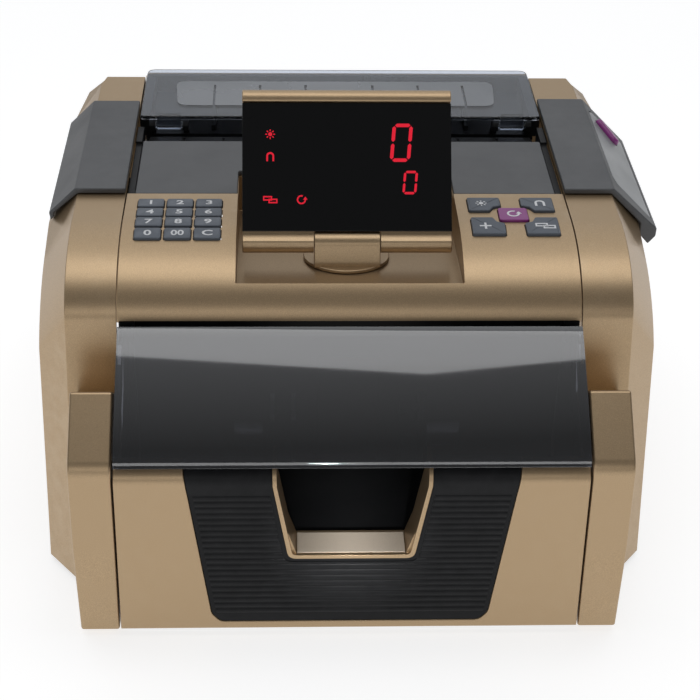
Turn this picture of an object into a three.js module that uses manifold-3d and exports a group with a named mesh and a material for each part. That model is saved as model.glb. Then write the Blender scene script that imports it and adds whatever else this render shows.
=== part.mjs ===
// Banknote counting machine, modelled in millimetres with +Z up and its front facing -Y.
// Every casing, shaft, roller, key and hinged flap is a separate closed solid.
import * as THREE from "three";
import { ConvexGeometry } from "three/addons/geometries/ConvexGeometry.js";
import { mergeVertices } from "three/addons/utils/BufferGeometryUtils.js";
import Module from "manifold-3d";

const wasm = await Module();
wasm.setup();

// ---------------------------------------------------------------- driving dimensions
const GAP = 0.3; // clearance between neighbouring pieces
const SKIN = 2.5; // wall of the casings
const FOOT = 3; // height of the feet
const DEPTH = 279; // front panel to rear cover
const CHEEK = 141; // middle plane to the outer face of a cheek
const CHEEK_FACE = 127.4; // middle plane to the chamfer of a cheek
const SEAM = 103.5; // middle plane to the seam between middle panels and side shells
const PILLAR = 122.5; // middle plane to the outer face of a front pillar
const POD_TIP = 150; // middle plane to the tip of the right shoulder pod
const DECK = 156.6; // height of the flat top
const DECK_START = 106; // where the curved top panel becomes flat
const COVER_START = 134; // rear edge of the top panel, front edge of the grey covers
const COVER_END = 194; // rear edge of the hopper front cover
const SHOULDER = { top: 159.8, start: 132.8, leftEnd: 237.5, rightEnd: 241.6 };
const PANEL_LIP = { y: 57.4, z: 131.2 }; // lower front edge of the top panel
const FRONT_ROLL = 8; // radius of the front panel's rolled edge
const FRONT_TOP = 90.5; // top of the front panel
const BAY = { half: 51, front: 70.6, back: 159, z: 143, slope: 5 }; // sunk display bay, slope in degrees
const TURNTABLE = { y: 100, radius: 19.8, thick: 1.6, spindle: 6 };
const DISPLAY = {
  x: -0.7, half: 47.6, tall: 70, lean: 35, barrel: 4.6, hingeY: 93, hingeZ: 151.8, block: 15,
};
const HOOD = { half: 102.8, thick: 2.5, pinY: 52.5, pinZ: 125.2, pin: 2 };
const LID = { half: 102.3, front: 216, z: 158.2, thick: 2.2, pinY: 218.5, pinZ: 154.6, pin: 1.6 };
const PICKUP = { y: 240, z: 138.5, radius: 12, width: 10 };
const FEED = { y: 200, z: 118, radius: 14, width: 16 };
const STACK = { y: 95, z: 62, radius: 22, width: 8 };
const MOTOR = { y: 190, z: 40, radius: 18 };
const PULLEY = { from: -111, to: -105, feed: 12, motor: 8 };
const SHAFT = 4; // radius of the three long shafts
const ROLLER_X = 30; // middle plane to the middle of each roller
const FRAME_PLATE = { inner: 98, outer: 100, front: 78, back: 268, top: 144 };
const KEY = { wide: 12.2, deep: 8.3, above: 1.2, below: 2.3, hole: 0.35 };
const KEY_COLUMNS = [-91.2, -77.7, -64.2];
const KEY_ROWS = [122.2, 112.6, 103, 93.4];

// ---------------------------------------------------------------- materials
function finish(colour, roughness, metalness = 0) {
  return () => new THREE.MeshStandardMaterial({ color: colour, roughness, metalness });
}
const gold = finish(0xaa967a, 0.42, 0.5);
const greyPlastic = finish(0x5c5e62, 0.6);
const blackPlastic = finish(0x222326, 0.55);
const smoked = finish(0x24262b, 0.12);
const lightGrey = finish(0x9aa0a4, 0.5);
const keyGrey = finish(0x5c626c, 0.55);
const purple = finish(0x96328c, 0.4);
const screenGlass = finish(0x050506, 0.08);
const steel = finish(0xb4b7ba, 0.35, 0.9);
const rubber = finish(0x1c1c1d, 0.85);
const boardGreen = finish(0x1f5a36, 0.5);

// ---------------------------------------------------------------- shapes and booleans
function toSolid(geometry) {
  const bare = geometry.clone();
  bare.deleteAttribute("normal");
  bare.deleteAttribute("uv");
  const merged = mergeVertices(bare, 1e-4);
  const vertProperties = new Float32Array(merged.attributes.position.array);
  const triVerts = new Uint32Array(merged.index.array);
  return new wasm.Manifold(new wasm.Mesh({ numProp: 3, vertProperties, triVerts }));
}

function toGeometry(solid) {
  const { vertProperties, triVerts } = solid.getMesh();
  const geometry = new THREE.BufferGeometry();
  geometry.setAttribute("position", new THREE.BufferAttribute(new Float32Array(vertProperties), 3));
  geometry.setIndex(new THREE.BufferAttribute(new Uint32Array(triVerts), 1));
  geometry.computeVertexNormals();
  return geometry;
}

function join(first, ...others) {
  return others.reduce((sum, other) => sum.add(other), first);
}

function cut(first, ...tools) {
  return tools.reduce((left, tool) => left.subtract(tool), first);
}

function prism(points, depth, matrix) {
  const outline = new THREE.Shape(points.map(([a, b]) => new THREE.Vector2(a, b)));
  const geometry = new THREE.ExtrudeGeometry(outline, { depth, bevelEnabled: false });
  return toSolid(geometry.applyMatrix4(matrix));
}

// An outline in (Y, Z), pushed along X.
function alongX(points, from, to) {
  return prism(points, to - from, new THREE.Matrix4().set(0, 0, 1, from, 1, 0, 0, 0, 0, 1, 0, 0, 0, 0, 0, 1));
}

// An outline in (X, Z), pushed along Y.
function alongY(points, from, to) {
  return prism(points, to - from, new THREE.Matrix4().set(1, 0, 0, 0, 0, 0, -1, to, 0, 1, 0, 0, 0, 0, 0, 1));
}

// An outline in (X, Y), pushed along Z.
function alongZ(points, from, to) {
  return prism(points, to - from, new THREE.Matrix4().makeTranslation(0, 0, from));
}

function block(x, y, z) {
  const geometry = new THREE.BoxGeometry(x[1] - x[0], y[1] - y[0], z[1] - z[0]);
  geometry.translate((x[0] + x[1]) / 2, (y[0] + y[1]) / 2, (z[0] + z[1]) / 2);
  return toSolid(geometry);
}

function rodX(radius, from, to, y, z, sides = 24) {
  const geometry = new THREE.CylinderGeometry(radius, radius, to - from, sides);
  geometry.rotateZ(Math.PI / 2);
  geometry.translate((from + to) / 2, y, z);
  return toSolid(geometry);
}

function rodZ(radius, from, to, x = 0, y = 0, sides = 40) {
  const geometry = new THREE.CylinderGeometry(radius, radius, to - from, sides);
  geometry.rotateX(Math.PI / 2);
  geometry.translate(x, y, (from + to) / 2);
  return toSolid(geometry);
}

function hull(points) {
  return toSolid(new ConvexGeometry(points.map(([x, y, z]) => new THREE.Vector3(x, y, z))));
}

function arc(centreA, centreB, radius, fromDegrees, toDegrees, steps = 6) {
  return Array.from({ length: steps + 1 }, (_, i) => {
    const angle = THREE.MathUtils.degToRad(fromDegrees + ((toDegrees - fromDegrees) * i) / steps);
    return [centreA + radius * Math.cos(angle), centreB + radius * Math.sin(angle)];
  });
}

function mirrorPoints(points) {
  return points.map(([x, ...rest]) => [-x, ...rest]);
}

function rectangle(width, depth) {
  const [a, b] = [width / 2, depth / 2];
  return [[-a, -b], [a, -b], [a, b], [-a, b]];
}

// ---------------------------------------------------------------- the scene graph
const machine = new THREE.Group();
machine.position.set((CHEEK - POD_TIP) / 2, -DEPTH / 2, 0);

function add(name, solid, material, parent = machine) {
  const mesh = new THREE.Mesh(toGeometry(solid), material());
  mesh.name = name;
  parent.add(mesh);
  return mesh;
}

// ---------------------------------------------------------------- the curved top
const deckCurve = new THREE.CubicBezierCurve(
  new THREE.Vector2(PANEL_LIP.y, PANEL_LIP.z),
  new THREE.Vector2(PANEL_LIP.y + 2.6, PANEL_LIP.z + 13.3),
  new THREE.Vector2(78, DECK - 0.2),
  new THREE.Vector2(DECK_START, DECK),
);

function deckPoints(inset = 0) {
  const steps = 10;
  return Array.from({ length: steps + 1 }, (_, i) => {
    const point = deckCurve.getPoint(i / steps);
    const tangent = deckCurve.getTangent(i / steps);
    return [point.x + inset * tangent.y, point.y - inset * tangent.x];
  });
}

// Height and slope of the top panel at a distance y from the front.
function deckAt(y) {
  if (y >= DECK_START) return { z: DECK, angle: 0 };
  let [low, high] = [0, 1];
  for (let i = 0; i < 30; i += 1) {
    const middle = (low + high) / 2;
    if (deckCurve.getPoint(middle).x < y) low = middle;
    else high = middle;
  }
  const tangent = deckCurve.getTangent(low);
  return { z: deckCurve.getPoint(low).y, angle: Math.atan2(tangent.y, tangent.x) };
}

function bayFloor(y) {
  return BAY.z - (y - BAY.front) * Math.tan(THREE.MathUtils.degToRad(BAY.slope));
}

// ---------------------------------------------------------------- keys
function keyFrame(x, y) {
  const { z, angle } = deckAt(y);
  return { position: new THREE.Vector3(x, y, z), rotation: new THREE.Euler(angle, 0, 0) };
}

function keyList() {
  const names = ["1", "2", "3", "4", "5", "6", "7", "8", "9", "0", "double_zero", "clear"];
  const numeric = names.map((name, i) => ({
    name: `key_${name}`,
    x: KEY_COLUMNS[i % 3],
    y: KEY_ROWS[Math.floor(i / 3)],
    outline: rectangle(KEY.wide, KEY.deep),
    material: keyGrey,
  }));
  const upper = [[-7.7, 6.8], [7.6, 6.8], [7.6, -1.7], [3.9, -2.9], [1.9, -6.8], [-7.7, -6.8]];
  const lower = [[-7.7, 7.3], [2.6, 7.3], [4.2, 3.6], [7.8, 2.2], [7.6, -7.3], [-7.7, -7.3]];
  const functions = [
    { name: "key_ultraviolet", x: 64.3, y: 121, outline: upper, material: keyGrey },
    { name: "key_magnetic", x: 89.1, y: 121, outline: mirrorPoints(upper), material: keyGrey },
    { name: "key_add", x: 64.3, y: 99.6, outline: lower, material: keyGrey },
    { name: "key_double_detect", x: 89.1, y: 99.6, outline: mirrorPoints(lower), material: keyGrey },
    { name: "key_reset", x: 76.9, y: 110.7, outline: rectangle(13.6, 12.6), material: purple },
  ];
  return [...numeric, ...functions];
}

function keyHole({ x, y, outline }) {
  const spread = outline.map(([a, b]) => Math.max(Math.abs(a), Math.abs(b)));
  const scale = 1 + KEY.hole / Math.min(...spread.map((value) => value / 1.3));
  const { position, rotation } = keyFrame(x, y);
  const placed = new THREE.Matrix4().compose(
    position, new THREE.Quaternion().setFromEuler(rotation), new THREE.Vector3(1, 1, 1));
  placed.multiply(new THREE.Matrix4().makeTranslation(0, 0, -5));
  return prism(outline.map(([a, b]) => [a * scale, b * scale]), 10, placed);
}

function addKeys() {
  for (const key of keyList()) {
    const { position, rotation } = keyFrame(key.x, key.y);
    const mesh = add(key.name, alongZ(key.outline, -KEY.below, KEY.above), key.material);
    mesh.position.copy(position);
    mesh.rotation.copy(rotation);
  }
}

// ---------------------------------------------------------------- casings
function addTopPanel() {
  const half = SEAM - GAP;
  const outer = deckPoints();
  const inner = deckPoints(SKIN).reverse();
  const skin = alongX([...outer, [COVER_START, DECK], [COVER_START, DECK - SKIN], ...inner], -half, half);
  const wall = 2.2;
  const back = BAY.back + wall;
  const underDeck = DECK - SKIN - GAP;
  const filled = alongX(
    [...outer, [COVER_START, DECK], [COVER_START, underDeck], [back, underDeck], [back, 120],
      [PANEL_LIP.y, 120]], -half, half);
  const tub = alongX([[40, bayFloor(40) - wall], [back, bayFloor(back) - wall], [back, 190], [40, 190]],
    -BAY.half - wall, BAY.half + wall);
  const hollow = alongX([[40, bayFloor(40)], [BAY.back, bayFloor(BAY.back)], [BAY.back, 190], [40, 190]],
    -BAY.half, BAY.half);
  const spindleHole = rodZ(TURNTABLE.spindle + 2 * GAP, 120, 160, DISPLAY.x, TURNTABLE.y);
  const panel = cut(join(skin, tub.intersect(filled)), hollow, spindleHole, ...keyList().map(keyHole));
  add("top_panel", panel, gold);
}

function cheekPoints(side, inset) {
  const innerX = inset ? SEAM - 12 : SEAM + GAP;
  const faceX = CHEEK_FACE - inset * 0.6;
  const topX = 126.4 - inset * 0.6;
  const outerX = CHEEK - inset;
  const bottom = FOOT - 4 * inset;
  const points = [];
  for (const [y, z] of deckPoints(inset)) points.push([innerX, y, z], [topX, y, z]);
  points.push([innerX, 39.5 + inset, bottom], [faceX, 39.5 + inset, bottom]);
  const outerEdge = [[57.5, bottom], [73, 108], [80, 117], [99, 130], [COVER_START, 141 - inset]];
  for (const [y, z] of outerEdge) points.push([outerX, y + inset, z - inset / 2]);
  const rear = DEPTH - inset;
  const cornerX = 134.5 - inset;
  points.push([innerX, rear, bottom], [cornerX, rear, bottom], [outerX, rear - 29, bottom]);
  points.push([cornerX, rear, 146.8 - inset], [outerX, rear - 29, 141 - inset]);
  points.push([innerX, rear, 155.8 - inset], [topX - 2.3, rear, 155.8 - inset]);
  points.push([innerX, rear - 1.8, DECK - inset], [topX - 2.3, rear - 1.8, DECK - inset]);
  return side < 0 ? mirrorPoints(points) : points;
}

function pillarPoints(side) {
  const profile = [[0, FOOT], ...arc(10, 86, 10, 180, 130, 5), [27, 113.5], [58, 92], [58, FOOT]];
  const points = profile.flatMap(([y, z]) => {
    const outerX = z < 50 ? PILLAR - 1.3 : PILLAR;
    return [[SEAM + GAP, y, z], [outerX, y, z]];
  });
  return side < 0 ? mirrorPoints(points) : points;
}

function addSideShell(side, name) {
  const cheek = cut(hull(cheekPoints(side, 0)), hull(cheekPoints(side, SKIN)));
  const pillar = cut(hull(pillarPoints(side)), hull(cheekPoints(side, SKIN)));
  add(name, join(cheek, pillar), gold);
}

const INSERT = { top: 73, bottom: 62, foot: 58, low: 8.3, corner: 12.5 };
const NOTCH = {
  top: 34.9, topZ: FRONT_TOP + 4, bend: 34.6, bendZ: 82, low: 28.6, lowZ: 48, foot: 24.7, footZ: 43.4,
};
const TRIM_WALL = 1.8;

function frontProfile() {
  const roll = arc(FRONT_ROLL, FRONT_TOP - FRONT_ROLL, FRONT_ROLL, 180, 90);
  const inside = arc(FRONT_ROLL, FRONT_TOP - FRONT_ROLL, FRONT_ROLL - SKIN, 90, 180);
  return [[0, FOOT], ...roll, [11.6, FRONT_TOP], [11.6, FRONT_TOP - SKIN], ...inside, [SKIN, FOOT]];
}

function insertOutline(grow) {
  const slope = (INSERT.top - INSERT.bottom) / (FRONT_TOP - INSERT.corner);
  const top = INSERT.top + slope * 10 + grow;
  const right = [[INSERT.foot + grow, INSERT.low - grow], [INSERT.bottom + grow, INSERT.corner],
    [top, FRONT_TOP + 10]];
  return [...right, ...mirrorPoints(right).reverse()];
}

function notchOutline(inset) {
  const right = [[NOTCH.foot - inset * 0.6, NOTCH.footZ + inset], [NOTCH.low - inset, NOTCH.lowZ],
    [NOTCH.bend - inset, NOTCH.bendZ], [NOTCH.top - inset, NOTCH.topZ]];
  return [...right, ...mirrorPoints(right).reverse()];
}

function addFront() {
  const half = SEAM - GAP;
  const panel = alongX(frontProfile(), -half, half);
  add("front_panel", cut(panel, alongY(insertOutline(GAP), -5, 20)), gold);
  const insert = panel.intersect(alongY(insertOutline(0), -5, 20));
  add("ribbed_insert", cut(insert, alongY(notchOutline(-GAP), -5, 20)), blackPlastic);
  const trimLimit = alongX([[-0.4, FOOT],
    ...arc(FRONT_ROLL, FRONT_TOP - FRONT_ROLL, FRONT_ROLL + 0.4, 180, 90),
    [18, FRONT_TOP + 0.4], [18, FOOT]], -half, half);
  const inner = [...notchOutline(TRIM_WALL)];
  inner[3][1] += 5;
  inner[4][1] += 5;
  const trim = cut(alongY(notchOutline(0), -1, 18), alongY(inner, -5, 25));
  add("finger_cutout_trim", trim.intersect(trimLimit), gold);
}

function shoulderOutline(tip) {
  return [[SEAM + GAP, SHOULDER.top], [127.4, SHOULDER.top], ...tip, [126.2, 157.1], [SEAM + GAP, 157.1]];
}

function addShoulders() {
  const leftTip = [[140.5, 147.5], [139.9, 143.2], [138.2, 144.6], [138, 146.8]];
  const left = mirrorPoints(shoulderOutline(leftTip)).reverse();
  add("left_shoulder_cover", alongY(left, SHOULDER.start, SHOULDER.leftEnd), greyPlastic);
  const rightTip = [[POD_TIP, 138.7], [149.8, 134.6], [146.3, 130.4], [141.7, 135.6], [141.7, 141.6]];
  const rearCut = alongZ([[127.4, SHOULDER.rightEnd], [152, 234.2], [152, 250], [127.4, 250]], 120, 170);
  const pod = cut(alongY(shoulderOutline(rightTip), SHOULDER.start, SHOULDER.rightEnd), rearCut);
  const slope = Math.atan2(138.7 - SHOULDER.top, POD_TIP - 127.4);
  const facet = new THREE.Matrix4().makeRotationY(-slope).setPosition(127.4, 0, SHOULDER.top);
  const onFacet = (outline, low, high) => prism(outline, high - low,
    facet.clone().multiply(new THREE.Matrix4().makeTranslation(0, 0, low)));
  const plate = [[3.2, 152], [5.4, 145.8], [28.4, 140.6], [28, 227.5], [6, 233], [3.2, 229]];
  const grown = [[2.8, 151.9], [5.1, 145.4], [28.8, 140.1], [28.4, 227.9], [5.8, 233.5], [2.8, 229.2]];
  const lean = THREE.MathUtils.radToDeg(Math.atan2(-6.8, 8)); // the button lies across the facet
  const pill = (radius) => [...arc(18.6, 216.6, radius, lean - 90, lean + 90, 8),
    ...arc(10.6, 223.4, radius, lean + 90, lean + 270, 8)];
  const button = pill(3.2);
  const buttonHole = pill(3.6);
  add("right_shoulder_pod", cut(pod, onFacet(grown, -1.2, 5), onFacet(buttonHole, -9, 5)), greyPlastic);
  add("pod_inset_plate", cut(onFacet(plate, -0.9, 0), onFacet(buttonHole, -9, 5)), lightGrey);
  add("power_button", onFacet(button, -1.5, 1.4), purple);
}

function addHopper() {
  const width = 99.5;
  const bayGap = BAY.half + GAP;
  const cover = block([-width, width], [COVER_START + GAP, COVER_END], [DECK - SKIN, DECK]);
  const bayNotch = block([-bayGap, bayGap], [COVER_START - 5, BAY.back + GAP], [DECK - 9, DECK + 9]);
  add("hopper_front_cover", cut(cover, bayNotch), greyPlastic);

  const railFrom = width + 0.4;
  const railTo = SEAM - GAP;
  const rail = (side) => block([side * railFrom, side * railTo].sort((a, b) => a - b),
    [COVER_START + GAP, COVER_END + 0.6], [146, DECK - 1.4]);
  const bed = join(block([-railTo, railTo], [163, 214], [144.6, 147]),
    block([-97.6, 97.6], [COVER_END + 1, 214], [146, 150]), rail(-1), rail(1));
  add("feed_bed", bed, blackPlastic);

  const floor = block([-100, 100], [222, 276], [145, 148]);
  const walls = [block([-100, -97.5], [222, 276], [147, 157.2]), block([97.5, 100], [222, 276], [147, 157.2]),
    block([-100, 100], [273.5, 276], [147, 157.2])];
  const ribPlaces = [-65.4, -41.7, -17.7, 17.7, 41.7, 65.4];
  const ribs = ribPlaces.map((x) => block([x - 1, x + 1], [226, 262], [147, 152.5]));
  const ears = [-1, 1].flatMap((side) => [78, 95].map((x) => {
    const [near, far] = [side * x, side * (x + 3)].sort((a, b) => a - b);
    return alongX([[223, 146], [223, 150], [216, 152.5], ...arc(LID.pinY, LID.pinZ, 3, 190, 10, 6).slice(1),
      [226, 150], [226, 146]], near, far);
  }));
  const pinHoles = rodX(LID.pin + 0.5, -99, 99, LID.pinY, LID.pinZ, 16);
  const windows = [-1, 1].map((side) => {
    const middle = side * ROLLER_X;
    return block([middle - 6.5, middle + 6.5], [PICKUP.y - 11.8, PICKUP.y + 11.8], [140, 160]);
  });
  add("hopper_tray", cut(join(floor, ...walls, ...ribs, ...ears), pinHoles, ...windows), blackPlastic);
}

function addLid() {
  const plate = block([-LID.half, LID.half], [LID.front, DEPTH], [LID.z, LID.z + LID.thick]);
  const lugs = [-1, 1].flatMap((side) => {
    const middle = side * 88;
    const lug = alongX([...arc(LID.pinY, LID.pinZ, 2.4, 180, 360), [LID.pinY + 2.4, LID.z + 1],
      [LID.pinY - 2.4, LID.z + 1]], middle - 6, middle + 6);
    return [lug, rodX(LID.pin, middle - 9, middle + 9, LID.pinY, LID.pinZ, 16)];
  });
  add("hopper_lid", join(plate, ...lugs), smoked);
}

function addHood() {
  const outer = new THREE.QuadraticBezierCurve(
    new THREE.Vector2(51, 132), new THREE.Vector2(25, 115.6), new THREE.Vector2(1.4, 94.6));
  const lip = [[0.4, 91.2], [2.9, 91.2]];
  const steps = 8;
  const top = outer.getPoints(steps).map(({ x, y }) => [x, y]);
  const under = outer.getPoints(steps).map(({ x, y }, i) => {
    const tangent = outer.getTangent(i / steps);
    return [x - HOOD.thick * tangent.y, y + HOOD.thick * tangent.x];
  });
  const plate = alongX([...top, ...lip, ...under.reverse()], -HOOD.half, HOOD.half);
  const eye = arc(HOOD.pinY, HOOD.pinZ, 4.4, 250, 390, 6);
  const flange = [[50, 130], [4.6, 93.6], [14, 92.4], [40, 109], ...eye];
  const sides = [-1, 1].flatMap((side) => {
    const [near, far] = [side * (HOOD.half - 2.2), side * HOOD.half].sort((a, b) => a - b);
    const [from, to] = [side * (HOOD.half - 5.6), side * (HOOD.half - 1)].sort((a, b) => a - b);
    return [alongX(flange, near, far), rodX(HOOD.pin, from, to, HOOD.pinY, HOOD.pinZ, 16)];
  });
  add("stacker_hood", join(plate, ...sides), smoked);
}

function addStackerPocket() {
  const inner = 97.8;
  const outer = 100.3;
  const floor = block([-outer, outer], [12, 71], [40.5, 43]);
  const ear = arc(HOOD.pinY, HOOD.pinZ, 3.2, 170, 20, 6);
  const side = [[12, 40.5], [12, 84], [40, 106], ...ear, [62, 116], [71, 112], [71, 40.5]];
  const tray = join(floor, alongX(side, -outer, -inner), alongX(side, inner, outer));
  add("stacker_tray", cut(tray, rodX(HOOD.pin + 0.4, -110, 110, HOOD.pinY, HOOD.pinZ, 16)), blackPlastic);

  const back = [[75, 38], [71.6, 60], [66, 112], [62.6, 129.4],
    [65, 129.4], [68.4, 112], [74, 60], [77.4, 38]];
  const raised = [[74.3, 46], [71.8, 60], [66.6, 108], [64.6, 108], [69.4, 60], [72, 46]];
  const plate = join(alongX(back, -97, 97), alongX(raised, -14, 14));
  const slotHeight = [STACK.z - 24, STACK.z + 24];
  const slots = [-ROLLER_X, ROLLER_X].map((x) => block([x - 6, x + 6], [60, 90], slotHeight));
  add("stacker_backplate", cut(plate, ...slots), blackPlastic);
}

// ---------------------------------------------------------------- display
function addDisplay() {
  const bay = new THREE.Group();
  bay.position.set(DISPLAY.x, TURNTABLE.y, bayFloor(TURNTABLE.y) + GAP);
  bay.rotation.x = -THREE.MathUtils.degToRad(BAY.slope);
  machine.add(bay);
  const hinge = new THREE.Vector3(DISPLAY.x, DISPLAY.hingeY, DISPLAY.hingeZ);
  hinge.sub(bay.position).applyAxisAngle(new THREE.Vector3(1, 0, 0), -bay.rotation.x);
  const blockProfile = [...arc(hinge.y, hinge.z, 5, 180, -20, 10),
    [hinge.y + 5.5, 1], [hinge.y - 7, 1], [hinge.y - 7, 4]];
  const turntable = join(rodZ(TURNTABLE.radius, 0, TURNTABLE.thick), rodZ(TURNTABLE.spindle, -8, 1),
    alongX(blockProfile, -DISPLAY.block, DISPLAY.block));
  const hingeBore = rodX(1.9, -20, 20, hinge.y, hinge.z, 16);
  add("display_turntable", cut(turntable, hingeBore), gold, bay);

  const panel = new THREE.Group();
  panel.position.set(DISPLAY.x, DISPLAY.hingeY, DISPLAY.hingeZ);
  panel.rotation.x = -THREE.MathUtils.degToRad(DISPLAY.lean);
  machine.add(panel);
  const top = DISPLAY.tall;
  const roll = arc(-1.2, top - 4.5, 4.5, -20, 200, 10);
  const profile = [...arc(0, 0, DISPLAY.barrel, 175, 340, 12), [4.4, 4], [5.2, 9], [5.2, top - 9],
    ...roll.slice(1), [-2, top - 6], [-2, 4.2]];
  const shell = alongX(profile, -DISPLAY.half, DISPLAY.half);
  const centre = block([-DISPLAY.block - GAP, DISPLAY.block + GAP], [-20, 20], [-20, 5.6]);
  const pin = rodX(1.5, -DISPLAY.block - 3, DISPLAY.block + 3, 0, 0, 16);
  add("display_housing", join(cut(shell, centre), pin), gold, panel);
  const glass = block([-DISPLAY.half, DISPLAY.half], [-4, -2.3], [4.7, top - 6.4]);
  add("display_window", glass, screenGlass, panel);
}

// ---------------------------------------------------------------- feed mechanism
function addRollers({ y, z, radius, width }, name) {
  for (const [side, word] of [[-1, "left"], [1, "right"]]) {
    const middle = side * ROLLER_X;
    const ring = rodX(radius, middle - width / 2, middle + width / 2, y, z, 36);
    add(`${name}_roller_${word}`, cut(ring, rodX(SHAFT + GAP, middle - 20, middle + 20, y, z)), rubber);
  }
}

function addImpellers() {
  const blades = 10;
  for (const [side, word] of [[-1, "left"], [1, "right"]]) {
    const middle = side * ROLLER_X;
    const [from, to] = [middle - STACK.width / 2, middle + STACK.width / 2];
    let wheel = rodX(9, from, to, STACK.y, STACK.z);
    for (let i = 0; i < blades; i += 1) {
      const turn = (i * 2 * Math.PI) / blades;
      const [c, s] = [Math.cos(turn), Math.sin(turn)];
      const tip = [[STACK.radius - 0.3, 3.2], [STACK.radius - 1.2, 4.4]];
      const outline = [[7, -1], [16, -0.8], ...tip, [15, 0.9], [7, 1]];
      const placed = outline.map(([a, b]) => [STACK.y + a * c - b * s, STACK.z + a * s + b * c]);
      wheel = wheel.add(alongX(placed, from, to));
    }
    const bore = rodX(SHAFT + GAP, middle - 20, middle + 20, STACK.y, STACK.z);
    add(`stacker_impeller_${word}`, cut(wheel, bore), rubber);
  }
}

function addShafts() {
  add("pickup_shaft", rodX(SHAFT, -102, 102, PICKUP.y, PICKUP.z), steel);
  const feedPulley = rodX(PULLEY.feed, PULLEY.from, PULLEY.to, FEED.y, FEED.z, 36);
  add("feed_shaft", join(rodX(SHAFT, PULLEY.from - 1, 102, FEED.y, FEED.z), feedPulley), steel);
  add("stacker_shaft", rodX(SHAFT, -102, 102, STACK.y, STACK.z), steel);
}

function addDrive() {
  const { from, to } = PULLEY;
  add("drive_motor", rodX(MOTOR.radius, -94, -30, MOTOR.y, MOTOR.z, 32), steel);
  const rotorShaft = rodX(2.5, from - 1, -94.5, MOTOR.y, MOTOR.z);
  const rotor = join(rodX(PULLEY.motor, from, to, MOTOR.y, MOTOR.z, 28), rotorShaft);
  add("motor_pulley", rotor, steel);
  const beltInner = beltOutline(GAP);
  const beltOuter = beltOutline(GAP + 1.6);
  const band = alongX(beltOuter, from + 0.5, to - 0.5);
  add("drive_belt", cut(band, alongX(beltInner, from - 5, to + 5)), rubber);
}

// The belt's outline: two arcs round the pulleys, joined by their common tangents.
function beltOutline(offset) {
  const [dy, dz] = [FEED.y - MOTOR.y, FEED.z - MOTOR.z];
  const reach = Math.hypot(dy, dz);
  const along = THREE.MathUtils.radToDeg(Math.atan2(dz, dy));
  const lean = THREE.MathUtils.radToDeg(Math.acos((PULLEY.motor - PULLEY.feed) / reach));
  const upper = arc(FEED.y, FEED.z, PULLEY.feed + offset, along - lean, along + lean, 18);
  const lower = arc(MOTOR.y, MOTOR.z, PULLEY.motor + offset, along + lean, along + 360 - lean, 14);
  return [...upper, ...lower];
}

function addFrame() {
  const { inner, outer, front, back, top } = FRAME_PLATE;
  for (const [side, word] of [[-1, "left"], [1, "right"]]) {
    const [near, far] = [side * inner, side * outer].sort((a, b) => a - b);
    const plate = block([near, far], [front, back], [5.7, top]);
    const holes = [PICKUP, FEED, STACK].map(({ y, z }) => rodX(SHAFT + 0.4, near - 5, far + 5, y, z));
    if (side < 0) holes.push(rodX(3.2, near - 5, far + 5, MOTOR.y, MOTOR.z));
    add(`${word}_frame_plate`, cut(plate, ...holes), steel);
  }
  add("base_pan", block([-102.6, 102.6], [4, 275.5], [FOOT + 0.2, 5.3]), steel);
  for (const [x, y, word] of [[-88, 24, "front_left"], [88, 24, "front_right"], [-88, 255, "rear_left"],
    [88, 255, "rear_right"]]) {
    add(`foot_${word}`, rodZ(8, 0, FOOT, x, y, 24), rubber);
  }
}

function addElectrics() {
  const parts = [[-40, -10, 96, 120], [20, 60, 100, 118], [-70, -52, 130, 150]];
  const chips = parts.map(([a, b, c, d]) => block([a, b], [c, d], [11, 18]));
  add("control_board", join(block([-85, 85], [100, 160], [10, 11.6]), ...chips), boardGreen);
  add("power_supply", block([20, 90], [200, 262], [8, 48]), steel);
  const inletX = 62;
  const inletZ = 32;
  const rim = block([inletX - 14, inletX + 14], [278.3, DEPTH], [inletZ - 10.5, inletZ + 10.5]);
  const body = block([inletX - 12, inletX + 12], [264, 278.6], [inletZ - 8.5, inletZ + 8.5]);
  const socket = block([inletX - 10.5, inletX + 10.5], [266, 290], [inletZ - 6.5, inletZ + 6.5]);
  add("power_inlet", cut(join(rim, body), socket), blackPlastic);
  const cover = block([-SEAM + GAP, SEAM - GAP], [276.3, 278], [FOOT, 157.4]);
  const cutout = block([inletX - 12.4, inletX + 12.4], [270, 290], [inletZ - 8.9, inletZ + 8.9]);
  const slots = Array.from({ length: 7 }, (_, i) => block([-80, -20], [270, 290], [40 + i * 8, 43 + i * 8]));
  add("rear_cover", cut(cover, cutout, ...slots), gold);
}

addSideShell(-1, "left_side_shell");
addSideShell(1, "right_side_shell");
addTopPanel();
addFront();
addShoulders();
addHopper();
addLid();
addHood();
addStackerPocket();
addDisplay();
addRollers(PICKUP, "pickup");
addRollers(FEED, "feed");
addImpellers();
addShafts();
addDrive();
addFrame();
addElectrics();
addKeys();

export default machine;
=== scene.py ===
"""Banknote counting machine: visible shells, flaps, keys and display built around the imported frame.

Every size is in millimetres on the machine's own datum: X from its middle plane, Y from the front
panel towards the rear, Z up from the table. Workbench.finish turns them into the shared frame.
"""
import logging
import math
from dataclasses import dataclass
from enum import Enum

import bmesh
import bpy
from mathutils import Matrix, Vector


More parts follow.
